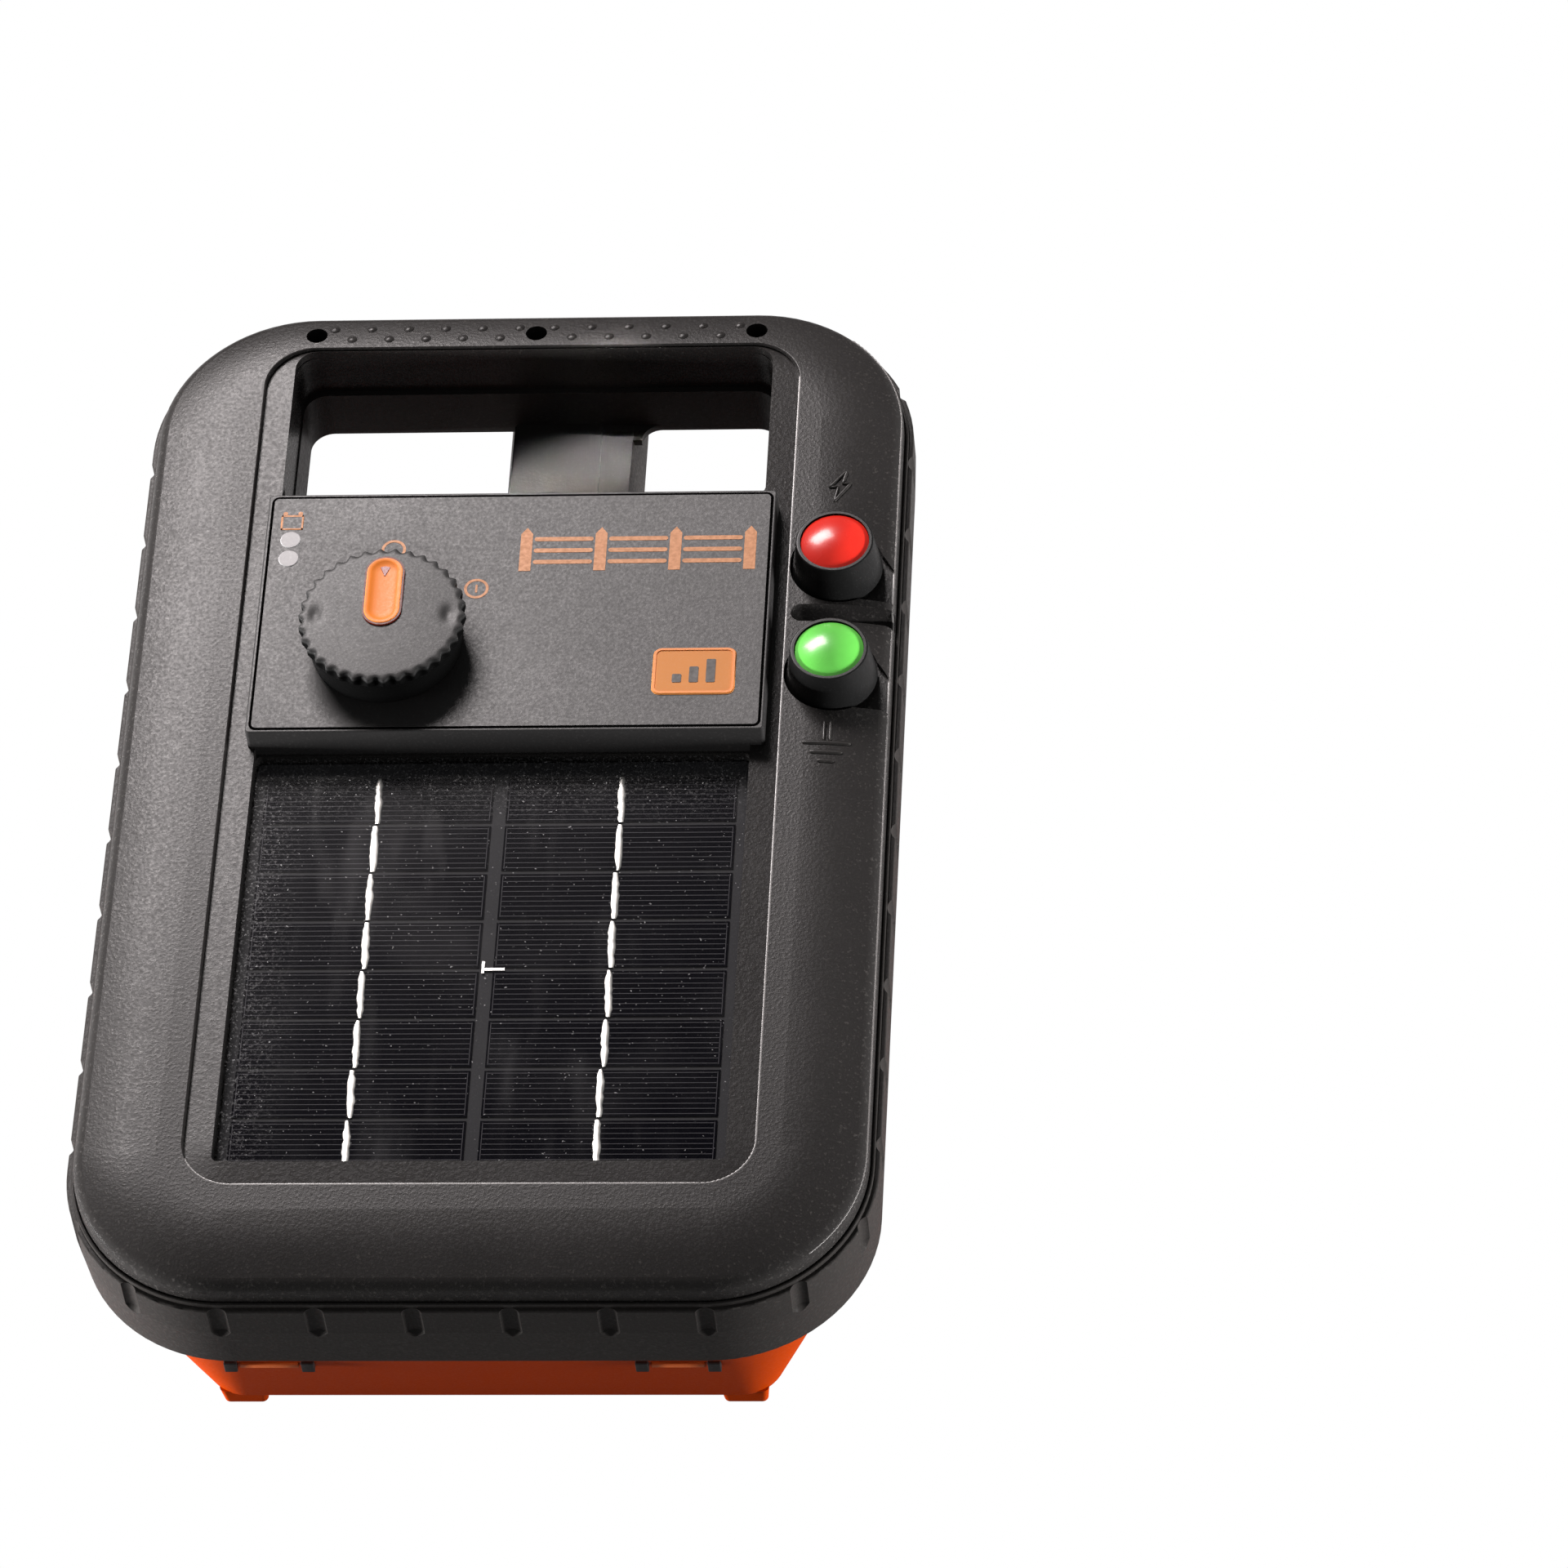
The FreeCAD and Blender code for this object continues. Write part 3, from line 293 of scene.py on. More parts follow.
def panel_glass():
    """Clear resin face with a film of dust, thicker near the plate and the left edge."""
    material, tree, shader = new_material("panel_glass")
    coords = object_coords(tree)
    split = tree.nodes.new("ShaderNodeSeparateXYZ")
    tree.links.new(coords, split.inputs["Vector"])
    film = remap(tree, noise(tree, coords, 26.0, 4.0, 0.6), 0.5, 0.85, 0.0, 0.03)
    smear = remap(tree, noise(tree, stretched(tree, coords, (60, 14, 14)), 1.0, 3.0, 0.6),
                  0.55, 0.8, 0.0, 0.05)
    near_plate = remap(tree, split.outputs["Y"], glass_high.y - 0.022, glass_high.y, 0.0, 1.0)
    near_left = remap(tree, split.outputs["X"], glass_low.x + 0.016, glass_low.x, 0.0, 1.0)
    corner = combine(tree, "MAXIMUM", near_plate, near_left)
    grains = noise(tree, coords, 1300.0, 2.0, 0.7)
    heap = combine(tree, "MULTIPLY", remap(tree, grains, 0.56, 0.70, 0.0, 0.20), corner)
    scattered = remap(tree, noise(tree, coords, 1500.0, 1.0, 0.3), 0.78, 0.80, 0.0, 0.5)
    dust = combine(tree, "ADD", combine(tree, "ADD", film, smear),
                   combine(tree, "ADD", heap, scattered))
    tree.links.new(mix_colour(tree, remap(tree, dust, 0.0, 0.08, 0.0, 1.0), (0.006, 0.006, 0.008),
                              (0.42, 0.42, 0.43)), shader.inputs["Base Color"])
    tree.links.new(combine(tree, "MINIMUM", combine(tree, "ADD", dust, 0.02), 1.0),
                   shader.inputs["Alpha"])
    tree.links.new(remap(tree, grains, 0.3, 0.7, 0.16, 0.26), shader.inputs["Roughness"])
    return material


def tinned_metal():
    """Bright dipped tin with ripples."""
    material, tree, shader = new_material("tinned_metal")
    coords = object_coords(tree)
    ripple = noise(tree, stretched(tree, coords, (500, 260, 260)), 1.0, 3.0, 0.6)
    tree.links.new(mix_colour(tree, remap(tree, ripple, 0.3, 0.7, 0.0, 1.0), (0.98, 0.97, 0.93),
                              (0.80, 0.79, 0.75)), shader.inputs["Base Color"])
    tree.links.new(remap(tree, ripple, 0.3, 0.7, 0.30, 0.5), shader.inputs["Roughness"])
    shader.inputs["Metallic"].default_value = 1.0
    bump(tree, shader, ripple, 0.35, 0.00012)
    return material


def metal(name, colour, roughness):
    """Drawn or plated metal with fine streaks."""
    material, tree, shader = new_material(name)
    coords = object_coords(tree)
    grain = noise(tree, stretched(tree, coords, (900, 900, 120)), 1.0, 3.0, 0.6)
    tree.links.new(mix_colour(tree, remap(tree, grain, 0.3, 0.7, 0.0, 1.0), colour,
                              tuple(c * 0.8 for c in colour)), shader.inputs["Base Color"])
    tree.links.new(remap(tree, grain, 0.3, 0.7, roughness - 0.08, roughness + 0.08),
                   shader.inputs["Roughness"])
    shader.inputs["Metallic"].default_value = 1.0
    bump(tree, shader, grain, 0.2, 0.00002)
    return material


def give(material, *names):
    """Put one material on CAD nodes."""
    for name in names:
        piece = nodes[name]
        piece.data.materials.clear()
        piece.data.materials.append(material)


def dress_shell():
    """Materials of the outer pieces."""
    give(moulded_plastic("black_grain", (0.021, 0.0195, 0.0190), (0.072, 0.067, 0.064), 0.305,
                         grain=1150.0, specular=0.22, depth=0.00011, mottle=0.11), "front_cover")
    give(moulded_plastic("frame_grain", BAND_TONE, BAND_SPECK, 0.42, grain=1150.0,
                         specular=0.2, depth=0.0001, mottle=0.1), "rear_frame")
    give(moulded_plastic("plate_grain", PLATE_TONE, PLATE_SPECK, 0.45, grain=1300.0,
                         specular=0.48, depth=0.00006, mottle=0.08), "control_plate")
    give(moulded_plastic("orange_case", (0.34, 0.033, 0.0012), (0.37, 0.040, 0.002), 0.42,
                         depth=0.00003, cloud=0.1, specular=0.04), "rear_case")
    give(moulded_plastic("grip_plastic", (0.008, 0.008, 0.008), (0.016, 0.016, 0.016), 0.34,
                         depth=0.00002, specular=0.3), "live_grip", "earth_grip")
    give(moulded_plastic("badge_orange", (0.68, 0.26, 0.075), (0.72, 0.30, 0.10), 0.5,
                         depth=0.00002, specular=0.15), "plate_badge")
    give(glossy_cap("red_gloss", (0.79, 0.028, 0.016), (0.72, 0.022, 0.013)), "live_cap")
    give(glossy_cap("green_gloss", (0.15, 0.64, 0.095), (0.13, 0.57, 0.08)), "earth_cap")


def dress_panel():
    """Materials of the lenses, the solar panel and the seals."""
    give(moulded_plastic("lens_frost", (0.42, 0.41, 0.415), (0.5, 0.49, 0.495), 0.45,
                         depth=0.00001, specular=0.3), "indicator_lenses")
    give(moulded_plastic("cell_dark", (0.0022, 0.0022, 0.0042), (0.004, 0.004, 0.007), 0.35,
                         depth=0.00001, specular=0.0), "solar_cells")
    give(moulded_plastic("sheet_grey", (0.048, 0.048, 0.051), (0.075, 0.075, 0.079), 0.6,
                         grain=1800.0, specular=0.0), "panel_backsheet")
    give(moulded_plastic("seal_rubber", (0.010, 0.010, 0.010), (0.016, 0.016, 0.016), 0.6),
         "panel_seal", "case_gasket", "shaft_seal", "battery_pad")
    give(panel_glass(), "solar_glass")


def dress_inside():
    """Materials of the fasteners, terminals and parts inside."""
    give(metal("zinc_steel", (0.55, 0.54, 0.52), 0.38), "handle_screws", "case_screws",
         "battery_strap", "battery_tabs")
    give(metal("stud_steel", (0.62, 0.60, 0.57), 0.28), "live_stud", "earth_stud",
         "live_washer", "earth_washer")
    give(metal("core_steel", (0.20, 0.18, 0.16), 0.45), "pulse_transformer")
    give(moulded_plastic("lamp_resin", (0.55, 0.54, 0.50), (0.62, 0.61, 0.57), 0.2,
                         depth=0.00001), "light_pipes", "indicator_lamps", "selector_shaft")
    give(moulded_plastic("part_black", (0.016, 0.016, 0.017), (0.03, 0.03, 0.03), 0.45),
         "switch_body", "board_parts", "battery")
    give(moulded_plastic("board_green", (0.012, 0.10, 0.03), (0.02, 0.14, 0.045), 0.35),
         "circuit_board")
    give(moulded_plastic("can_sleeve", (0.02, 0.035, 0.12), (0.03, 0.05, 0.16), 0.3),
         "storage_capacitor")
    give(moulded_plastic("wire_sleeve", (0.20, 0.012, 0.010), (0.26, 0.02, 0.016), 0.4),
         "output_leads", "battery_leads")


# ------------------------------------------------------------- mesh helpers

def finish_piece(name, bm, material, body, smooth_angle=40):
    """Turn the bmesh into a piece of the given body."""
    bmesh.ops.remove_doubles(bm, verts=bm.verts, dist=0.000001)
    bmesh.ops.recalc_face_normals(bm, faces=bm.faces)
    for face in bm.faces:
        face.smooth = True
    for edge in bm.edges:
        if len(edge.link_faces) == 2 and edge.calc_face_angle() > math.radians(smooth_angle):
            edge.smooth = False
    mesh = bpy.data.meshes.new(name)
    bm.to_mesh(mesh)
    bm.free()
    piece = bpy.data.objects.new(name, mesh)
    bpy.context.collection.objects.link(piece)
    piece.data.materials.append(material)
    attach(piece, body)
    return piece


def join_rings(bm, rings):
    """Faces between each ring of points and the next."""
    for first, second in zip(rings, rings[1:]):
        for i in range(len(first)):
            j = (i + 1) % len(first)
            bm.faces.new((first[i], first[j], second[j], second[i]))


def join_capped(bm, rings):
    """Closed solid through the rings, with a face on each end."""
    bm.faces.new(list(reversed(rings[0])))
    bm.faces.new(rings[-1])
    join_rings(bm, rings)


def level_ring(bm, loop, z):
    """Points of a plan outline at height z."""
    return [bm.verts.new((x, y, z)) for x, y in loop]


def add_solid(bm, loop, low, high, bevel=0.0):
    """Closed solid over a plan outline, its top edge softened by bevel."""
    rings = [level_ring(bm, loop, low)]
    if bevel:
        rings.append(level_ring(bm, loop, high - bevel))
        rings.append(level_ring(bm, shrunk(loop, bevel), high))
    else:
        rings.append(level_ring(bm, loop, high))
    join_capped(bm, rings)


def add_bar(bm, x0, x1, y0, y1, low, high):
    """Closed solid over a rectangle."""
    add_solid(bm, [(x0, y0), (x1, y0), (x1, y1), (x0, y1)], low, high)


def shrunk(loop, inset):
    """The outline moved inwards; the loop runs anticlockwise."""
    result = []
    count = len(loop)
    for i in range(count):
        before = Vector(loop[i - 1])
        here = Vector(loop[i])
        after = Vector(loop[(i + 1) % count])
        first = (here - before).normalized()
        second = (after - here).normalized()
        normal = Vector((-(first.y + second.y), first.x + second.x))
        if normal.length < 1e-9:
            normal = Vector((-first.y, first.x))
        normal.normalize()
        spread = max(0.5, normal.dot(Vector((-first.y, first.x))))
        result.append(tuple(here + normal * (inset / spread)))
    return result


def arc(centre_x, centre_y, radius, start, end, steps=16):
    """Points on an arc between two angles in degrees."""
    made = []
    for i in range(steps + 1):
        angle = math.radians(start + (end - start) * i / steps)
        made.append((centre_x + radius * math.cos(angle), centre_y + radius * math.sin(angle)))
    return made


def rounded_loop(x0, x1, y0, y1, radius, steps=6):
    """Rectangle with round corners, anticlockwise."""
    loop = []
    for cx, cy, start in ((x1 - radius, y0 + radius, -90), (x1 - radius, y1 - radius, 0),
                          (x0 + radius, y1 - radius, 90), (x0 + radius, y0 + radius, 180)):
        loop += arc(cx, cy, radius, start, start + 90, steps)
    return loop


def stadium(centre_x, y0, y1, half, steps=24):
    """Outline with straight sides and half-round ends, anticlockwise."""
    return (arc(centre_x, y1 - half, half, 0, 180, steps)
            + arc(centre_x, y0 + half, half, 180, 360, steps))


def circle_loop(cx, cy, radius, steps=48):
    """Full circle, anticlockwise."""
    return [(cx + radius * math.cos(2 * math.pi * i / steps),
             cy + radius * math.sin(2 * math.pi * i / steps)) for i in range(steps)]


def add_band(bm, outer, inner, low, high):
    """Closed ring between two loops with the same number of points."""
    rings = [level_ring(bm, loop, z)
             for loop, z in ((outer, low), (outer, high), (inner, high), (inner, low))]
    join_rings(bm, rings + rings[:1])


def add_stroke(bm, points, width, low, high):
    """Raised line with round ends between consecutive points."""
    for start, end in zip(points, points[1:]):
        heading = math.degrees(math.atan2(end[1] - start[1], end[0] - start[0]))
        loop = (arc(end[0], end[1], width / 2, heading - 90, heading + 90, 8)
                + arc(start[0], start[1], width / 2, heading + 90, heading + 270, 8))
        add_solid(bm, loop, low, high)


# ------------------------------------------------------------ solar details

def cell_frames():
    """Low and high corners of each cell: two columns of eight."""
    columns, rows = 2, 8
    column_gap, row_gap = 3.4 * MM, 1.2 * MM
    width = (cells_high.x - cells_low.x - column_gap) / columns
    pitch = (cells_high.y - cells_low.y + row_gap) / rows
    return [(cells_low.x + c * (width + column_gap), cells_low.x + c * (width + column_gap) + width,
             cells_low.y + r * pitch, cells_low.y + (r + 1) * pitch - row_gap)
            for c in range(columns) for r in range(rows)]


def make_fingers():
    """Fine printed conductor lines across each cell, with a faint edge line."""
    bm = bmesh.new()
    low = cells_high.z - 0.01 * MM
    high = cells_high.z + 0.03 * MM
    lines = 9
    for x0, x1, y0, y1 in cell_frames():
        for i in range(lines):
            y = y0 + (y1 - y0) * (i + 0.5) / lines
            add_bar(bm, x0 + 0.8 * MM, x1 - 0.8 * MM, y - 0.1 * MM, y + 0.1 * MM, low, high)
        for x in (x0 + 0.6 * MM, x1 - 0.6 * MM):
            add_bar(bm, x - 0.09 * MM, x + 0.09 * MM, y0 + 0.5 * MM, y1 - 0.5 * MM, low, high)
    finish_piece("cell_fingers", bm, moulded_plastic("finger_paste", (0.040, 0.039, 0.046),
                                                     (0.06, 0.06, 0.068), 0.5, specular=0.1),
                 "housing")


def make_ribbons():
    """Hand-soldered tinned ribbon: one uneven length over each cell."""
    random.seed(11)
    bm = bmesh.new()
    low = cells_high.z + 0.01 * MM
    top = glass_low.z - 0.02 * MM
    overlap = 0.2 * MM
    shoulder = 0.03 * MM
    sections = 12
    for x0, x1, y0, y1 in cell_frames():
        middle = (x0 + x1) / 2
        lean = random.uniform(-0.2, 0.2) * MM
        rings = []
        for i in range(sections + 1):
            part = i / sections
            y = y0 - overlap + (y1 - y0 + 2 * overlap) * part
            swell = math.sin(math.pi * part) ** 0.5
            half = (0.48 + 0.46 * swell + random.uniform(-0.16, 0.16)) * MM
            x = middle + lean + (0.45 * (0.5 - part) + random.uniform(-0.12, 0.12)) * MM
            crown = low + (top - low) * (0.55 + 0.45 * swell)
            rings.append([bm.verts.new(point) for point in (
                (x - half, y, low), (x + half, y, low), (x + half * 0.8, y, crown - shoulder),
                (x, y, crown), (x - half * 0.8, y, crown - shoulder))])
        join_capped(bm, rings)
    ribbons = finish_piece("tinned_ribbons", bm, tinned_metal(), "housing")
    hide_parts("cell_ribbons")


def make_bridge():
    """Short tinned jumper between the two columns, at the middle of the panel."""
    bm = bmesh.new()
    low = cells_high.z + 0.01 * MM
    high = glass_low.z - 0.03 * MM
    x = (cells_low.x + cells_high.x) / 2
    y = (cells_low.y + cells_high.y) / 2
    corner = 0.15 * MM
    add_solid(bm, rounded_loop(x - 0.4 * MM, x + 4.6 * MM, y - 0.4 * MM, y + 0.4 * MM, corner),
              low, high)
    add_solid(bm, rounded_loop(x - 1.1 * MM, x - 0.4 * MM, y - 1.2 * MM, y + 2.4 * MM, corner),
              low, high)
    finish_piece("cell_bridge", bm, metal("bridge_tin", (0.42, 0.42, 0.41), 0.4), "housing")


# ---------------------------------------------------------- plate and knob

def plate_outline(margin, corner):
    """The plate's outline, moved in by margin."""
    return rounded_loop(plate_low.x + margin, plate_high.x - margin,
                        plate_low.y + margin, plate_high.y - margin, corner)


def make_plate_label():
    """Thin overlay on the plate, with a border of bare plate and a hole for the shaft."""
    bm = bmesh.new()
    sunk = 0.02 * MM
    shaft_hole = circle_loop(knob_centre.x, knob_centre.y, 6.2 * MM, 40)
    edges = []
    for loop in (plate_outline(LABEL_MARGIN, LABEL_CORNER), shaft_hole):
        ring = level_ring(bm, loop, plate_high.z - sunk)
        edges += [bm.edges.new((ring[i], ring[(i + 1) % len(ring)])) for i in range(len(ring))]
    bmesh.ops.triangle_fill(bm, use_beauty=True, edges=edges)
    raised = bmesh.ops.extrude_face_region(bm, geom=list(bm.faces))
    bmesh.ops.translate(bm, vec=(0, 0, 0.15 * MM),
                        verts=[g for g in raised["geom"] if isinstance(g, bmesh.types.BMVert)])
    finish_piece("plate_label", bm, moulded_plastic(
        "label_grain", PLATE_TONE, PLATE_SPECK, 0.45, grain=1300.0, specular=0.48,
        depth=0.00006, mottle=0.08), "housing", 20)


def make_label_groove():
    """Flat near-black strip round the overlay: painted shade standing in for the shadow in a groove."""
    bm = bmesh.new()
    groove = 0.7 * MM
    add_band(bm, plate_outline(LABEL_MARGIN - groove, LABEL_CORNER + groove),
             plate_outline(LABEL_MARGIN, LABEL_CORNER),
             plate_high.z - 0.02 * MM, plate_high.z + 0.04 * MM)
    # Painted shade: a near-black strip where a groove's shadow would fall.
    finish_piece("label_groove", bm, moulded_plastic(
        "groove_painted_shade", (0.0015, 0.0015, 0.0015), (0.003, 0.003, 0.003), 0.8, specular=0.0),
        "housing", 20)


def make_battery_sign(orange, low, high):
    """Outline of a battery with two poles, above the indicator lenses."""
    middle = (lens_low.x + lens_high.x) / 2
    left, right = middle - 2.6 * MM, middle + 2.6 * MM
    base, top = lens_high.y + 0.9 * MM, lens_high.y + 5.1 * MM
    bm = bmesh.new()
    corners = [(left, base), (right, base), (right, top), (left, top), (left, base)]
    add_stroke(bm, corners, 0.5 * MM, low, high)
    for x in (left + 0.7 * MM, right - 0.7 * MM):
        add_solid(bm, circle_loop(x, top + 0.75 * MM, 0.6 * MM, 20), low, high)
    finish_piece("battery_sign", bm, orange, "housing")


def make_position_signs(orange, low, high):
    """Standard off and on signs at the two ends of the knob's turn."""
    for name, degrees, reach in (("off_sign", 91.0, 29.6 * MM), ("on_sign", 38.5, 27.2 * MM)):
        angle = math.radians(degrees)
        x = knob_centre.x + reach * math.cos(angle)
        y = knob_centre.y + reach * math.sin(angle)
        bm = bmesh.new()
        add_band(bm, circle_loop(x, y, 3.1 * MM), circle_loop(x, y, 2.4 * MM), low, high)
        if name == "on_sign":
            add_stroke(bm, [(x, y - 1.0 * MM), (x, y + 1.0 * MM)], 0.55 * MM, low, high)
        finish_piece(name, bm, orange, "housing")


def make_fence_pictogram(orange, low, high):
    """Four pointed posts with three rails between them."""
    first, last = 3.0 * MM, plate_high.x - 6.0 * MM
    base, crest = plate_high.y - 25.5 * MM, plate_high.y - 12.5 * MM
    half_post = 1.5 * MM
    rail_gap = 2.6 * MM
    posts = [first + (last - first) * i / 3 for i in range(4)]
    bm = bmesh.new()
    for x in posts:
        shoulder = crest - 1.2 * MM
        loop = [(x - half_post, base), (x + half_post, base), (x + half_post, shoulder),
                (x, crest + 0.8 * MM), (x - half_post, shoulder)]
        add_solid(bm, loop, low, high)
    for part in (0.22, 0.5, 0.78):
        y = base + (crest - base) * part
        for x0, x1 in zip(posts, posts[1:]):
            add_stroke(bm, [(x0 + rail_gap, y), (x1 - rail_gap, y)], 1.3 * MM, low, high)
    finish_piece("fence_pictogram", bm, orange, "housing")


def make_plate_marks():
    """Printed marks on the overlay, all generic."""
    orange = ink("mark_orange", (0.62, 0.235, 0.065))
    low = plate_high.z + 0.1 * MM
    high = plate_high.z + 0.2 * MM
    make_battery_sign(orange, low, high)
    make_position_signs(orange, low, high)
    make_fence_pictogram(orange, low, high)


def make_badge_rim():
    """Fine raised border round the badge."""
    bm = bmesh.new()
    inset = 0.25 * MM
    outer = rounded_loop(badge_low.x + inset, badge_high.x - inset, badge_low.y + inset,
                         badge_high.y - inset, 2.0 * MM)
    add_band(bm, outer, shrunk(outer, 0.6 * MM), badge_high.z - 0.1 * MM, badge_high.z + 0.22 * MM)
    finish_piece("badge_rim", bm, moulded_plastic("rim_orange", (0.86, 0.27, 0.06),
                                                  (0.9, 0.32, 0.09), 0.4, depth=0.00002,
                                                  specular=0.3), "housing")


def make_badge_bars():
    """Three plain bars of rising height, printed in the badge."""
    bm = bmesh.new()
    middle = (badge_low + badge_high) / 2
    base = middle.y - 3.6 * MM
    half_bar = 1.15 * MM
    for index in range(3):
        x = middle.x + (index - 1) * 4.2 * MM
        top = base + (2.6 + 2.3 * index) * MM
        add_solid(bm, rounded_loop(x - half_bar, x + half_bar, base, top, 0.3 * MM, 3),
                  badge_high.z - 0.05 * MM, badge_high.z + 0.1 * MM)
    finish_piece("badge_bars", bm, ink("mark_dark", (0.055, 0.045, 0.04)), "housing")


def knob_height(x, y, edge_radius):
    """Domed top of the knob with its two thumb hollows; x and y are from its centre."""
    dome = 0.5 * MM
    hollow_depth = 0.5 * MM
    fall = dome * (x * x + y * y) / edge_radius ** 2
    for side in (-1, 1):
        across = (x - side * 16.6 * MM) / (1.5 * MM)
        along = y / (2.4 * MM)
        fall += hollow_depth * math.exp(-across * across - along * along)
    return knob_high.z - 0.75 * MM - fall


def knob_plastic(face_edge):
    """Knob moulding: satin top; below the scalloped edge the skirt is painted near-black with little
    gloss, as painted shade for the skirt's side in shadow.
    """
    plastic = moulded_plastic("knob_grain", (0.021, 0.0205, 0.0205), (0.05, 0.048, 0.047), 0.44,
                              grain=1500.0, depth=0.00004, specular=0.45)
    tree = plastic.node_tree
    shader = tree.nodes["Principled BSDF"]
    split = tree.nodes.new("ShaderNodeSeparateXYZ")
    tree.links.new(object_coords(tree), split.inputs["Vector"])
    # Painted shade: below the top edge the skirt gets a near-black colour and low gloss, standing in
    # for the shadow on its side.
    top = remap(tree, split.outputs["Z"], face_edge - 1.3 * MM, face_edge - 0.6 * MM, 0.0, 1.0)
    satin = shader.inputs["Base Color"].links[0].from_socket
    tree.links.new(mix_colour(tree, top, (0.003, 0.003, 0.003), satin), shader.inputs["Base Color"])
    tree.links.new(remap(tree, top, 0.0, 1.0, 0.06, 0.45), shader.inputs["Specular IOR Level"])
    return plastic


def make_knob():
    """Knob with a scalloped top edge over a plain tapered skirt."""
    scallops = 34
    steps = scallops * 10
    radius = (knob_high.x - knob_low.x) / 2
    bite = 1.15 * MM

    def ring(r, z, depth):
        made = []
        for i in range(steps):
            angle = 2 * math.pi * i / steps
            reach = r - depth * (0.5 - 0.5 * math.cos(scallops * angle)) ** 0.8
            x, y = reach * math.cos(angle), reach * math.sin(angle)
            height = knob_height(x, y, radius) if z is None else z
            made.append(bm.verts.new((knob_centre.x + x, knob_centre.y + y, height)))
        return made

    bm = bmesh.new()
    face_edge = knob_height(radius, 0, radius)
    rings = [ring(radius * (0.04 + 0.86 * k / 40), None, 0.0) for k in range(41)]
    for inset, drop, share in ((0.35, 0.02, 0.9), (0.08, 0.18, 1.0), (0.0, 0.55, 1.0),
                               (0.0, 2.2, 0.8), (0.3, 2.9, 0.3), (1.0, 3.2, 0.0), (1.15, 5.0, 0.0)):
        rings.append(ring(radius - inset * MM, face_edge - drop * MM, bite * share))
    for inset, lift in ((1.9, 0.6), (2.2, 0.3)):
        rings.append(ring(radius - inset * MM, plate_high.z + lift * MM, 0.0))
    join_capped(bm, rings[::-1])
    knob = finish_piece("scalloped_knob", bm, knob_plastic(face_edge), "selector", 50)
    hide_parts("selector_knob")


def pointer_outline(inset):
    """The pointer's outline, moved in by inset from the CAD body's outline."""
    middle = (pointer_low.x + pointer_high.x) / 2
    half = (pointer_high.x - pointer_low.x) / 2
    return stadium(middle, pointer_low.y + inset, pointer_high.y - inset, half - inset)


def make_pointer_surround(crest):
    """Dark red joint between the knob and its pointer."""
    bm = bmesh.new()
    add_band(bm, pointer_outline(-0.05 * MM), pointer_outline(0.6 * MM),
             pointer_low.z, crest - 0.22 * MM)
    finish_piece("pointer_surround", bm, moulded_plastic(
        "surround_red", (0.10, 0.012, 0.006), (0.13, 0.018, 0.008), 0.45, depth=0.00001),
        "selector")


def make_hollow_pointer(crest):
    """Orange pointer with a raised rim and a long hollow."""
    bm = bmesh.new()
    margin = 0.5
    levels = ((0.0, -1.2), (0.0, -0.12), (0.12, 0.0), (0.75, 0.0), (1.05, -0.12), (1.5, -0.32),
              (2.2, -0.46), (3.0, -0.54), (3.8, -0.56))
    rings = [level_ring(bm, pointer_outline((margin + inset) * MM), crest + lift * MM)
             for inset, lift in levels]
    join_capped(bm, rings)
    pointer = finish_piece("hollow_pointer", bm, moulded_plastic(
        "pointer_orange", (0.92, 0.25, 0.035), (0.95, 0.29, 0.05), 0.42, depth=0.00001,
        cloud=0.05, specular=0.3), "selector")
    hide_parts("knob_pointer")


def make_pointer_mark(crest):
    """Small red wedge in the hollow, at the pointer's tip."""
    bm = bmesh.new()
    x = (pointer_low.x + pointer_high.x) / 2
    y = pointer_high.y - 4.1 * MM
    loop = [(x - 1.25 * MM, y + 0.8 * MM), (x - 0.1 * MM, y - 1.9 * MM), (x + 0.1 * MM, y - 1.9 * MM),
            (x + 1.25 * MM, y + 0.8 * MM), (x, y + 1.2 * MM)]
    add_solid(bm, loop, crest - 0.8 * MM, crest - 0.40 * MM, 0.05 * MM)
    mark = finish_piece("pointer_mark", bm, moulded_plastic(
        "mark_red", (0.22, 0.008, 0.003), (0.28, 0.015, 0.005), 0.3, depth=0.00001), "selector")
    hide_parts("pointer_window")


# ----------------------------------------------------- raised cover symbols

def cover_height():
    """Function that gives the height of the cover's face at a plan position."""
    tree = BVHTree.FromObject(nodes["front_cover"], bpy.context.evaluated_depsgraph_get())

    def height(x, y):
        hit = tree.ray_cast(Vector((x, y, cover_high.z + 0.02)), Vector((0, 0, -1)))
        return hit[0].z
    return height


def draped_stroke(bm, points, width, rise, height):
    """Raised line that follows the curved face of the cover."""
    sunk = 0.2 * MM
    for start, end in zip(points, points[1:]):
        start, end = Vector(start), Vector(end)
        run = end - start
        side = Vector((-run.y, run.x)).normalized() * width / 2
        steps = max(2, int(run.length / (0.6 * MM)))
        rings = []
        for i in range(steps + 1):
            spot = start + run * (i / steps)
            taper = 0.45 if i in (0, steps) else 1.0
            left, right = spot + side * taper, spot - side * taper
            z = height(spot.x, spot.y)
            rings.append([bm.verts.new((left.x, left.y, z - sunk)),
                          bm.verts.new((left.x, left.y, z + rise * 0.55)),
                          bm.verts.new((spot.x, spot.y, z + rise)),
                          bm.verts.new((right.x, right.y, z + rise * 0.55)),
                          bm.verts.new((right.x, right.y, z - sunk))])
        join_capped(bm, rings)


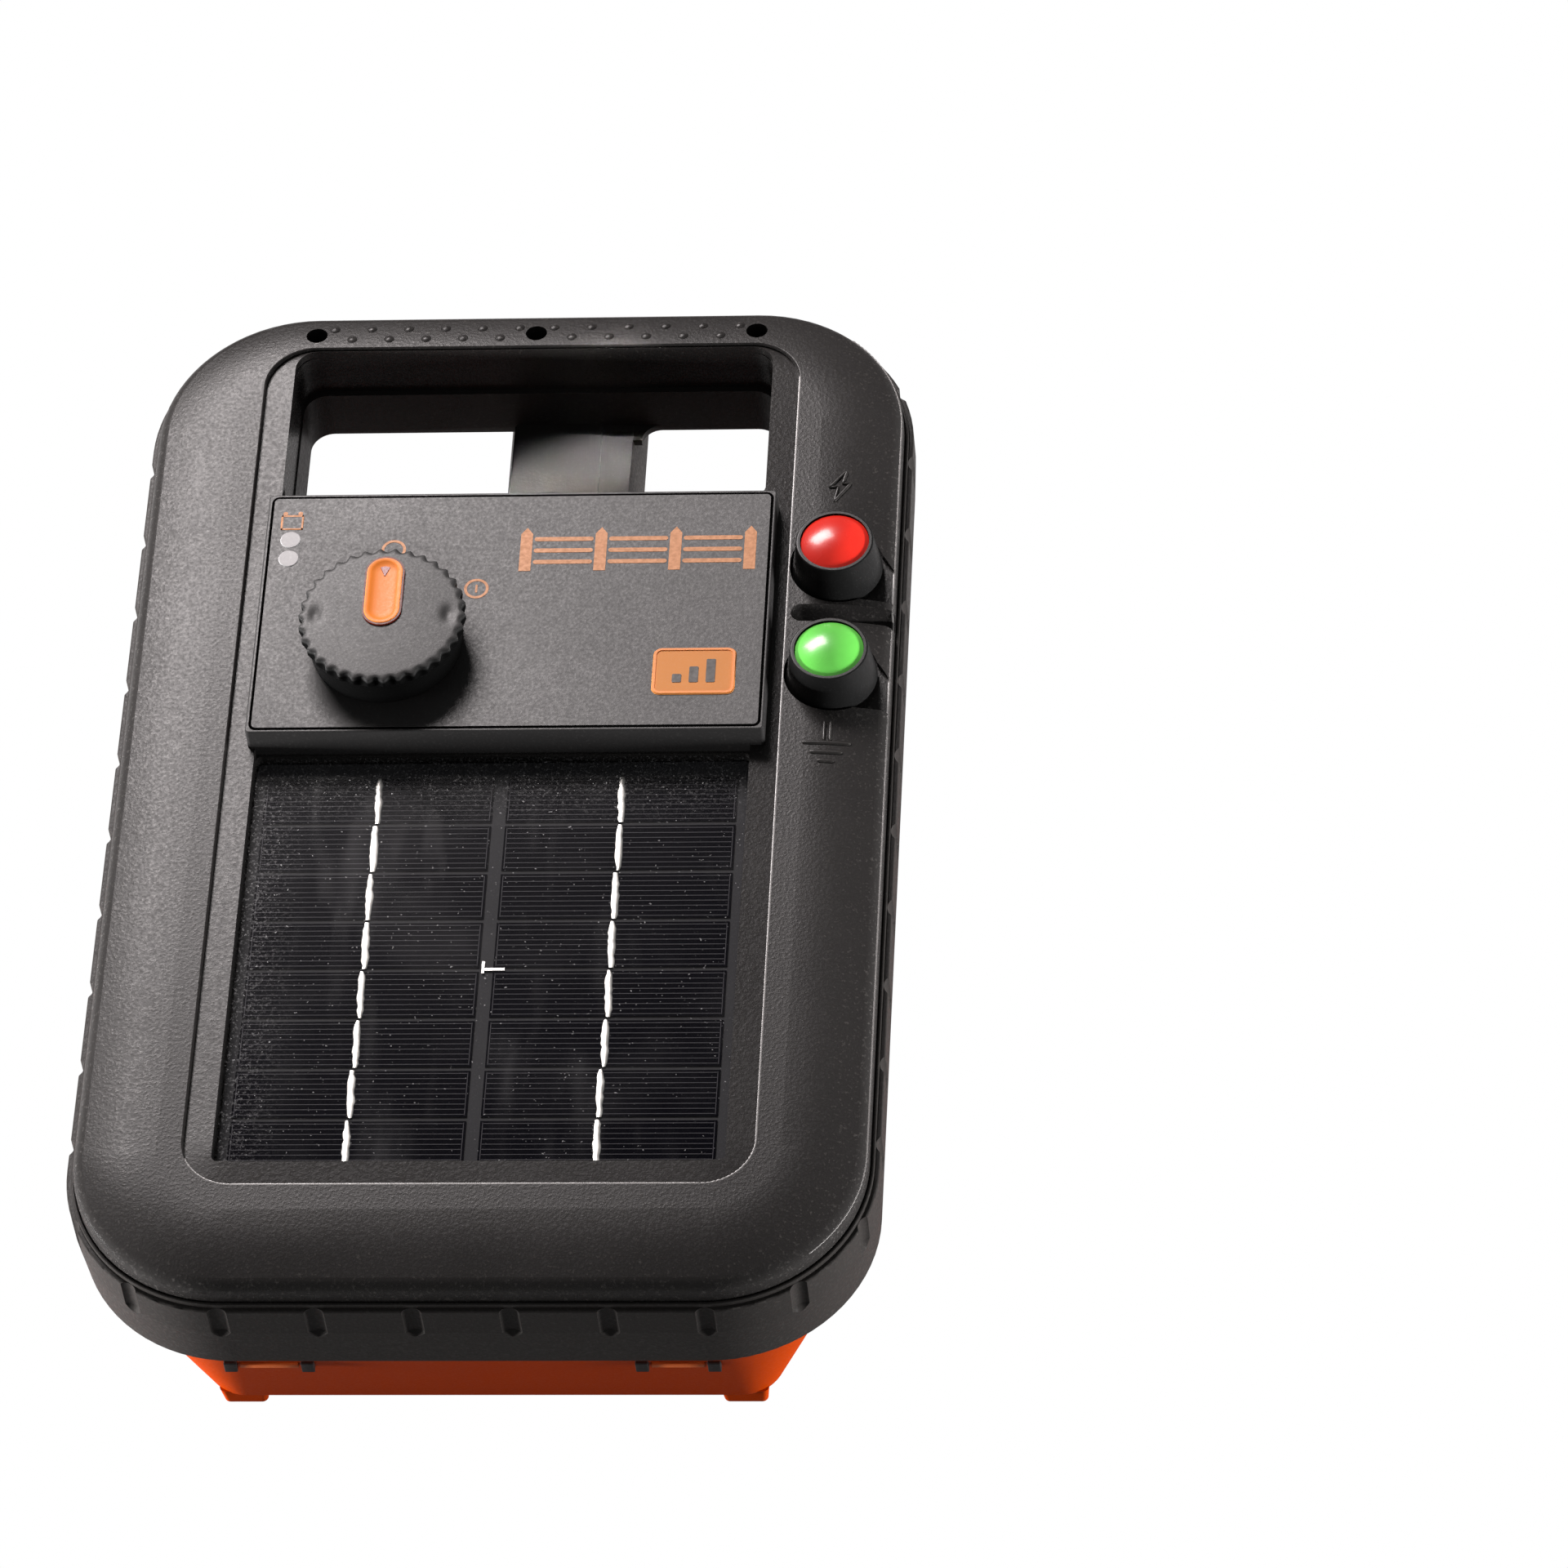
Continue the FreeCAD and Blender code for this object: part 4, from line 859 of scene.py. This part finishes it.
def make_flash_sign(plastic, height):
    """Standard flash, above the live terminal."""
    x = (live_low.x + live_high.x) / 2 - 0.3 * MM
    y = live_high.y + 16.6 * MM
    turns = ((1.6, 5.0), (-2.7, -0.6), (-0.4, -0.3), (-1.3, -5.0), (2.7, 1.0), (0.6, 0.7), (1.6, 5.0))
    bm = bmesh.new()
    draped_stroke(bm, [(x + across * MM, y + up * MM) for across, up in turns], 0.75 * MM,
                  0.5 * MM, height)
    finish_piece("flash_sign", bm, plastic, "housing", 70)


def make_earth_sign(plastic, height):
    """Standard earth sign, below the earth terminal."""
    x = (live_low.x + live_high.x) / 2 - 0.3 * MM
    y = earth_low.y - 13.4 * MM
    bm = bmesh.new()
    for side in (-0.75 * MM, 0.75 * MM):
        draped_stroke(bm, [(x + side, y + 6.4 * MM), (x + side, y + 0.4 * MM)], 0.7 * MM,
                      0.5 * MM, height)
    for drop, half in ((0.0, 6.0), (2.9, 4.0), (5.6, 2.1)):
        draped_stroke(bm, [(x - half * MM, y - drop * MM), (x + half * MM, y - drop * MM)],
                      1.0 * MM, 0.5 * MM, height)
    finish_piece("earth_sign", bm, plastic, "housing", 70)


def make_cover_symbols(height):
    """Two signs raised on the cover beside their terminals."""
    plastic = moulded_plastic("symbol_grain", (0.024, 0.022, 0.021), (0.06, 0.056, 0.053), 0.34)
    make_flash_sign(plastic, height)
    make_earth_sign(plastic, height)


def make_rim_shine(shine, height):
    """Painted highlight line down the right side of the window's rim and round its low end."""
    side, foot, turn, top = 68.95 * MM, -122.15 * MM, 12.7 * MM, 126 * MM
    rim = arc(turn - side, foot + turn, turn, 205, 270) + arc(side - turn, foot + turn, turn, -90, 0)
    rim.append((side, top))
    bm = bmesh.new()
    draped_stroke(bm, rim, 0.42 * MM, 0.1 * MM, height)
    finish_piece("rim_shine", bm, shine, "housing", 70)


def make_edge_shine(shine, height):
    """Painted highlight line on the cover's right edge."""
    inset, turn = 0.55 * MM, 38 * MM
    centre_x = cover_high.x - inset - turn
    bm = bmesh.new()
    edge = (arc(centre_x, cover_low.y + inset + turn, turn, -48, 0, 24)
            + arc(centre_x, cover_high.y - inset - turn, turn, 0, 50, 24))
    draped_stroke(bm, edge, 0.5 * MM, 0.12 * MM, height)
    finish_piece("edge_shine", bm, shine, "housing", 70)


def make_painted_edge_highlights(height):
    """Pale lines painted along the cover's edges as painted highlights."""
    # Painted highlight: a pale, glossier strip standing in for the highlight that light draws along
    # these edges.
    shine = moulded_plastic("painted_edge_highlight", (0.22, 0.21, 0.205), (0.42, 0.40, 0.39), 0.24,
                            grain=700.0, specular=0.6)
    make_rim_shine(shine, height)
    make_edge_shine(shine, height)


# ------------------------------------------------------ band and case details

def make_band_lip():
    """Thin lip along the top of the band, inside the notches, beside the cover's groove."""
    low, high = span("rear_frame")
    band_corner = 41 * MM
    band_top = 70.3 * MM
    profile = ((2.1, -0.2), (1.25, -0.2), (1.25, 1.0), (1.32, 1.2), (1.5, 1.3), (1.85, 1.3),
               (2.03, 1.2), (2.1, 1.0))
    bm = bmesh.new()
    rings = []
    for across, rise in profile:
        inset = across * MM
        loop = rounded_loop(low.x + inset, high.x - inset, low.y + inset, high.y - inset,
                            band_corner - inset, 24)
        rings.append(level_ring(bm, loop, band_top + rise * MM))
    join_rings(bm, rings + rings[:1])
    finish_piece("band_lip", bm, moulded_plastic("lip_grain", BAND_TONE, BAND_SPECK, 0.42,
                                                 specular=0.2), "housing")


def case_front():
    """Function that gives how far forward the case's front wall stands at a place on it."""
    tree = BVHTree.FromObject(nodes["rear_case"], bpy.context.evaluated_depsgraph_get())
    ahead = span("rear_case")[0].y - 0.05

    def front(x, z):
        hit = tree.ray_cast(Vector((x, ahead, z)), Vector((0, 1, 0)))
        return hit[0].y
    return front


def add_wall_block(bm, x0, x1, wall, out, low, high):
    """Block that stands out from the case's front wall by out, its root sunk in the wall."""
    root = 0.4 * MM
    add_solid(bm, rounded_loop(x0, x1, wall - out, wall + root, 0.3 * MM, 3), low, high, 0.2 * MM)


def make_case_tabs():
    """Black latch tabs over the case's front edge, with a ledge between each pair, painted a paler
    orange than the case as a painted highlight.
    """
    front = case_front()
    base = span("rear_frame")[0].z - 4.9 * MM
    half_tab = 1.6 * MM
    tabs = bmesh.new()
    ledges = bmesh.new()
    for pair in ((-60.6 * MM, -41.8 * MM), (39.3 * MM, 56.8 * MM)):
        for x in pair:
            add_wall_block(tabs, x - half_tab, x + half_tab, front(x, base - 1.5 * MM), 1.6 * MM,
                           base - 2.6 * MM, base + 0.8 * MM)
        wall = front((pair[0] + pair[1]) / 2, base - 1.0 * MM)
        add_wall_block(ledges, pair[0] + 2.2 * MM, pair[1] - 2.2 * MM, wall, 1.0 * MM,
                       base - 1.4 * MM, base - 0.2 * MM)
    finish_piece("latch_tabs", tabs, moulded_plastic("tab_black", (0.012, 0.011, 0.011),
                                                     (0.03, 0.028, 0.026), 0.4), "housing")
    # Painted highlight: the ledges get a paler copy of the case's orange.
    finish_piece("latch_ledges", ledges, moulded_plastic(
        "ledge_orange_painted_highlight", (0.62, 0.13, 0.03), (0.7, 0.2, 0.06), 0.4, depth=0.00002), "housing")


make_camera()
make_lights()
make_room()
make_floor()
dress_shell()
dress_panel()
dress_inside()
make_fingers()
make_ribbons()
make_bridge()
make_plate_label()
make_label_groove()
make_plate_marks()
make_badge_rim()
make_badge_bars()
make_knob()
pointer_crest = knob_high.z - 0.05 * MM
make_pointer_surround(pointer_crest)
make_hollow_pointer(pointer_crest)
make_pointer_mark(pointer_crest)
make_band_lip()
make_case_tabs()
cover_face = cover_height()
make_cover_symbols(cover_face)
make_painted_edge_highlights(cover_face)
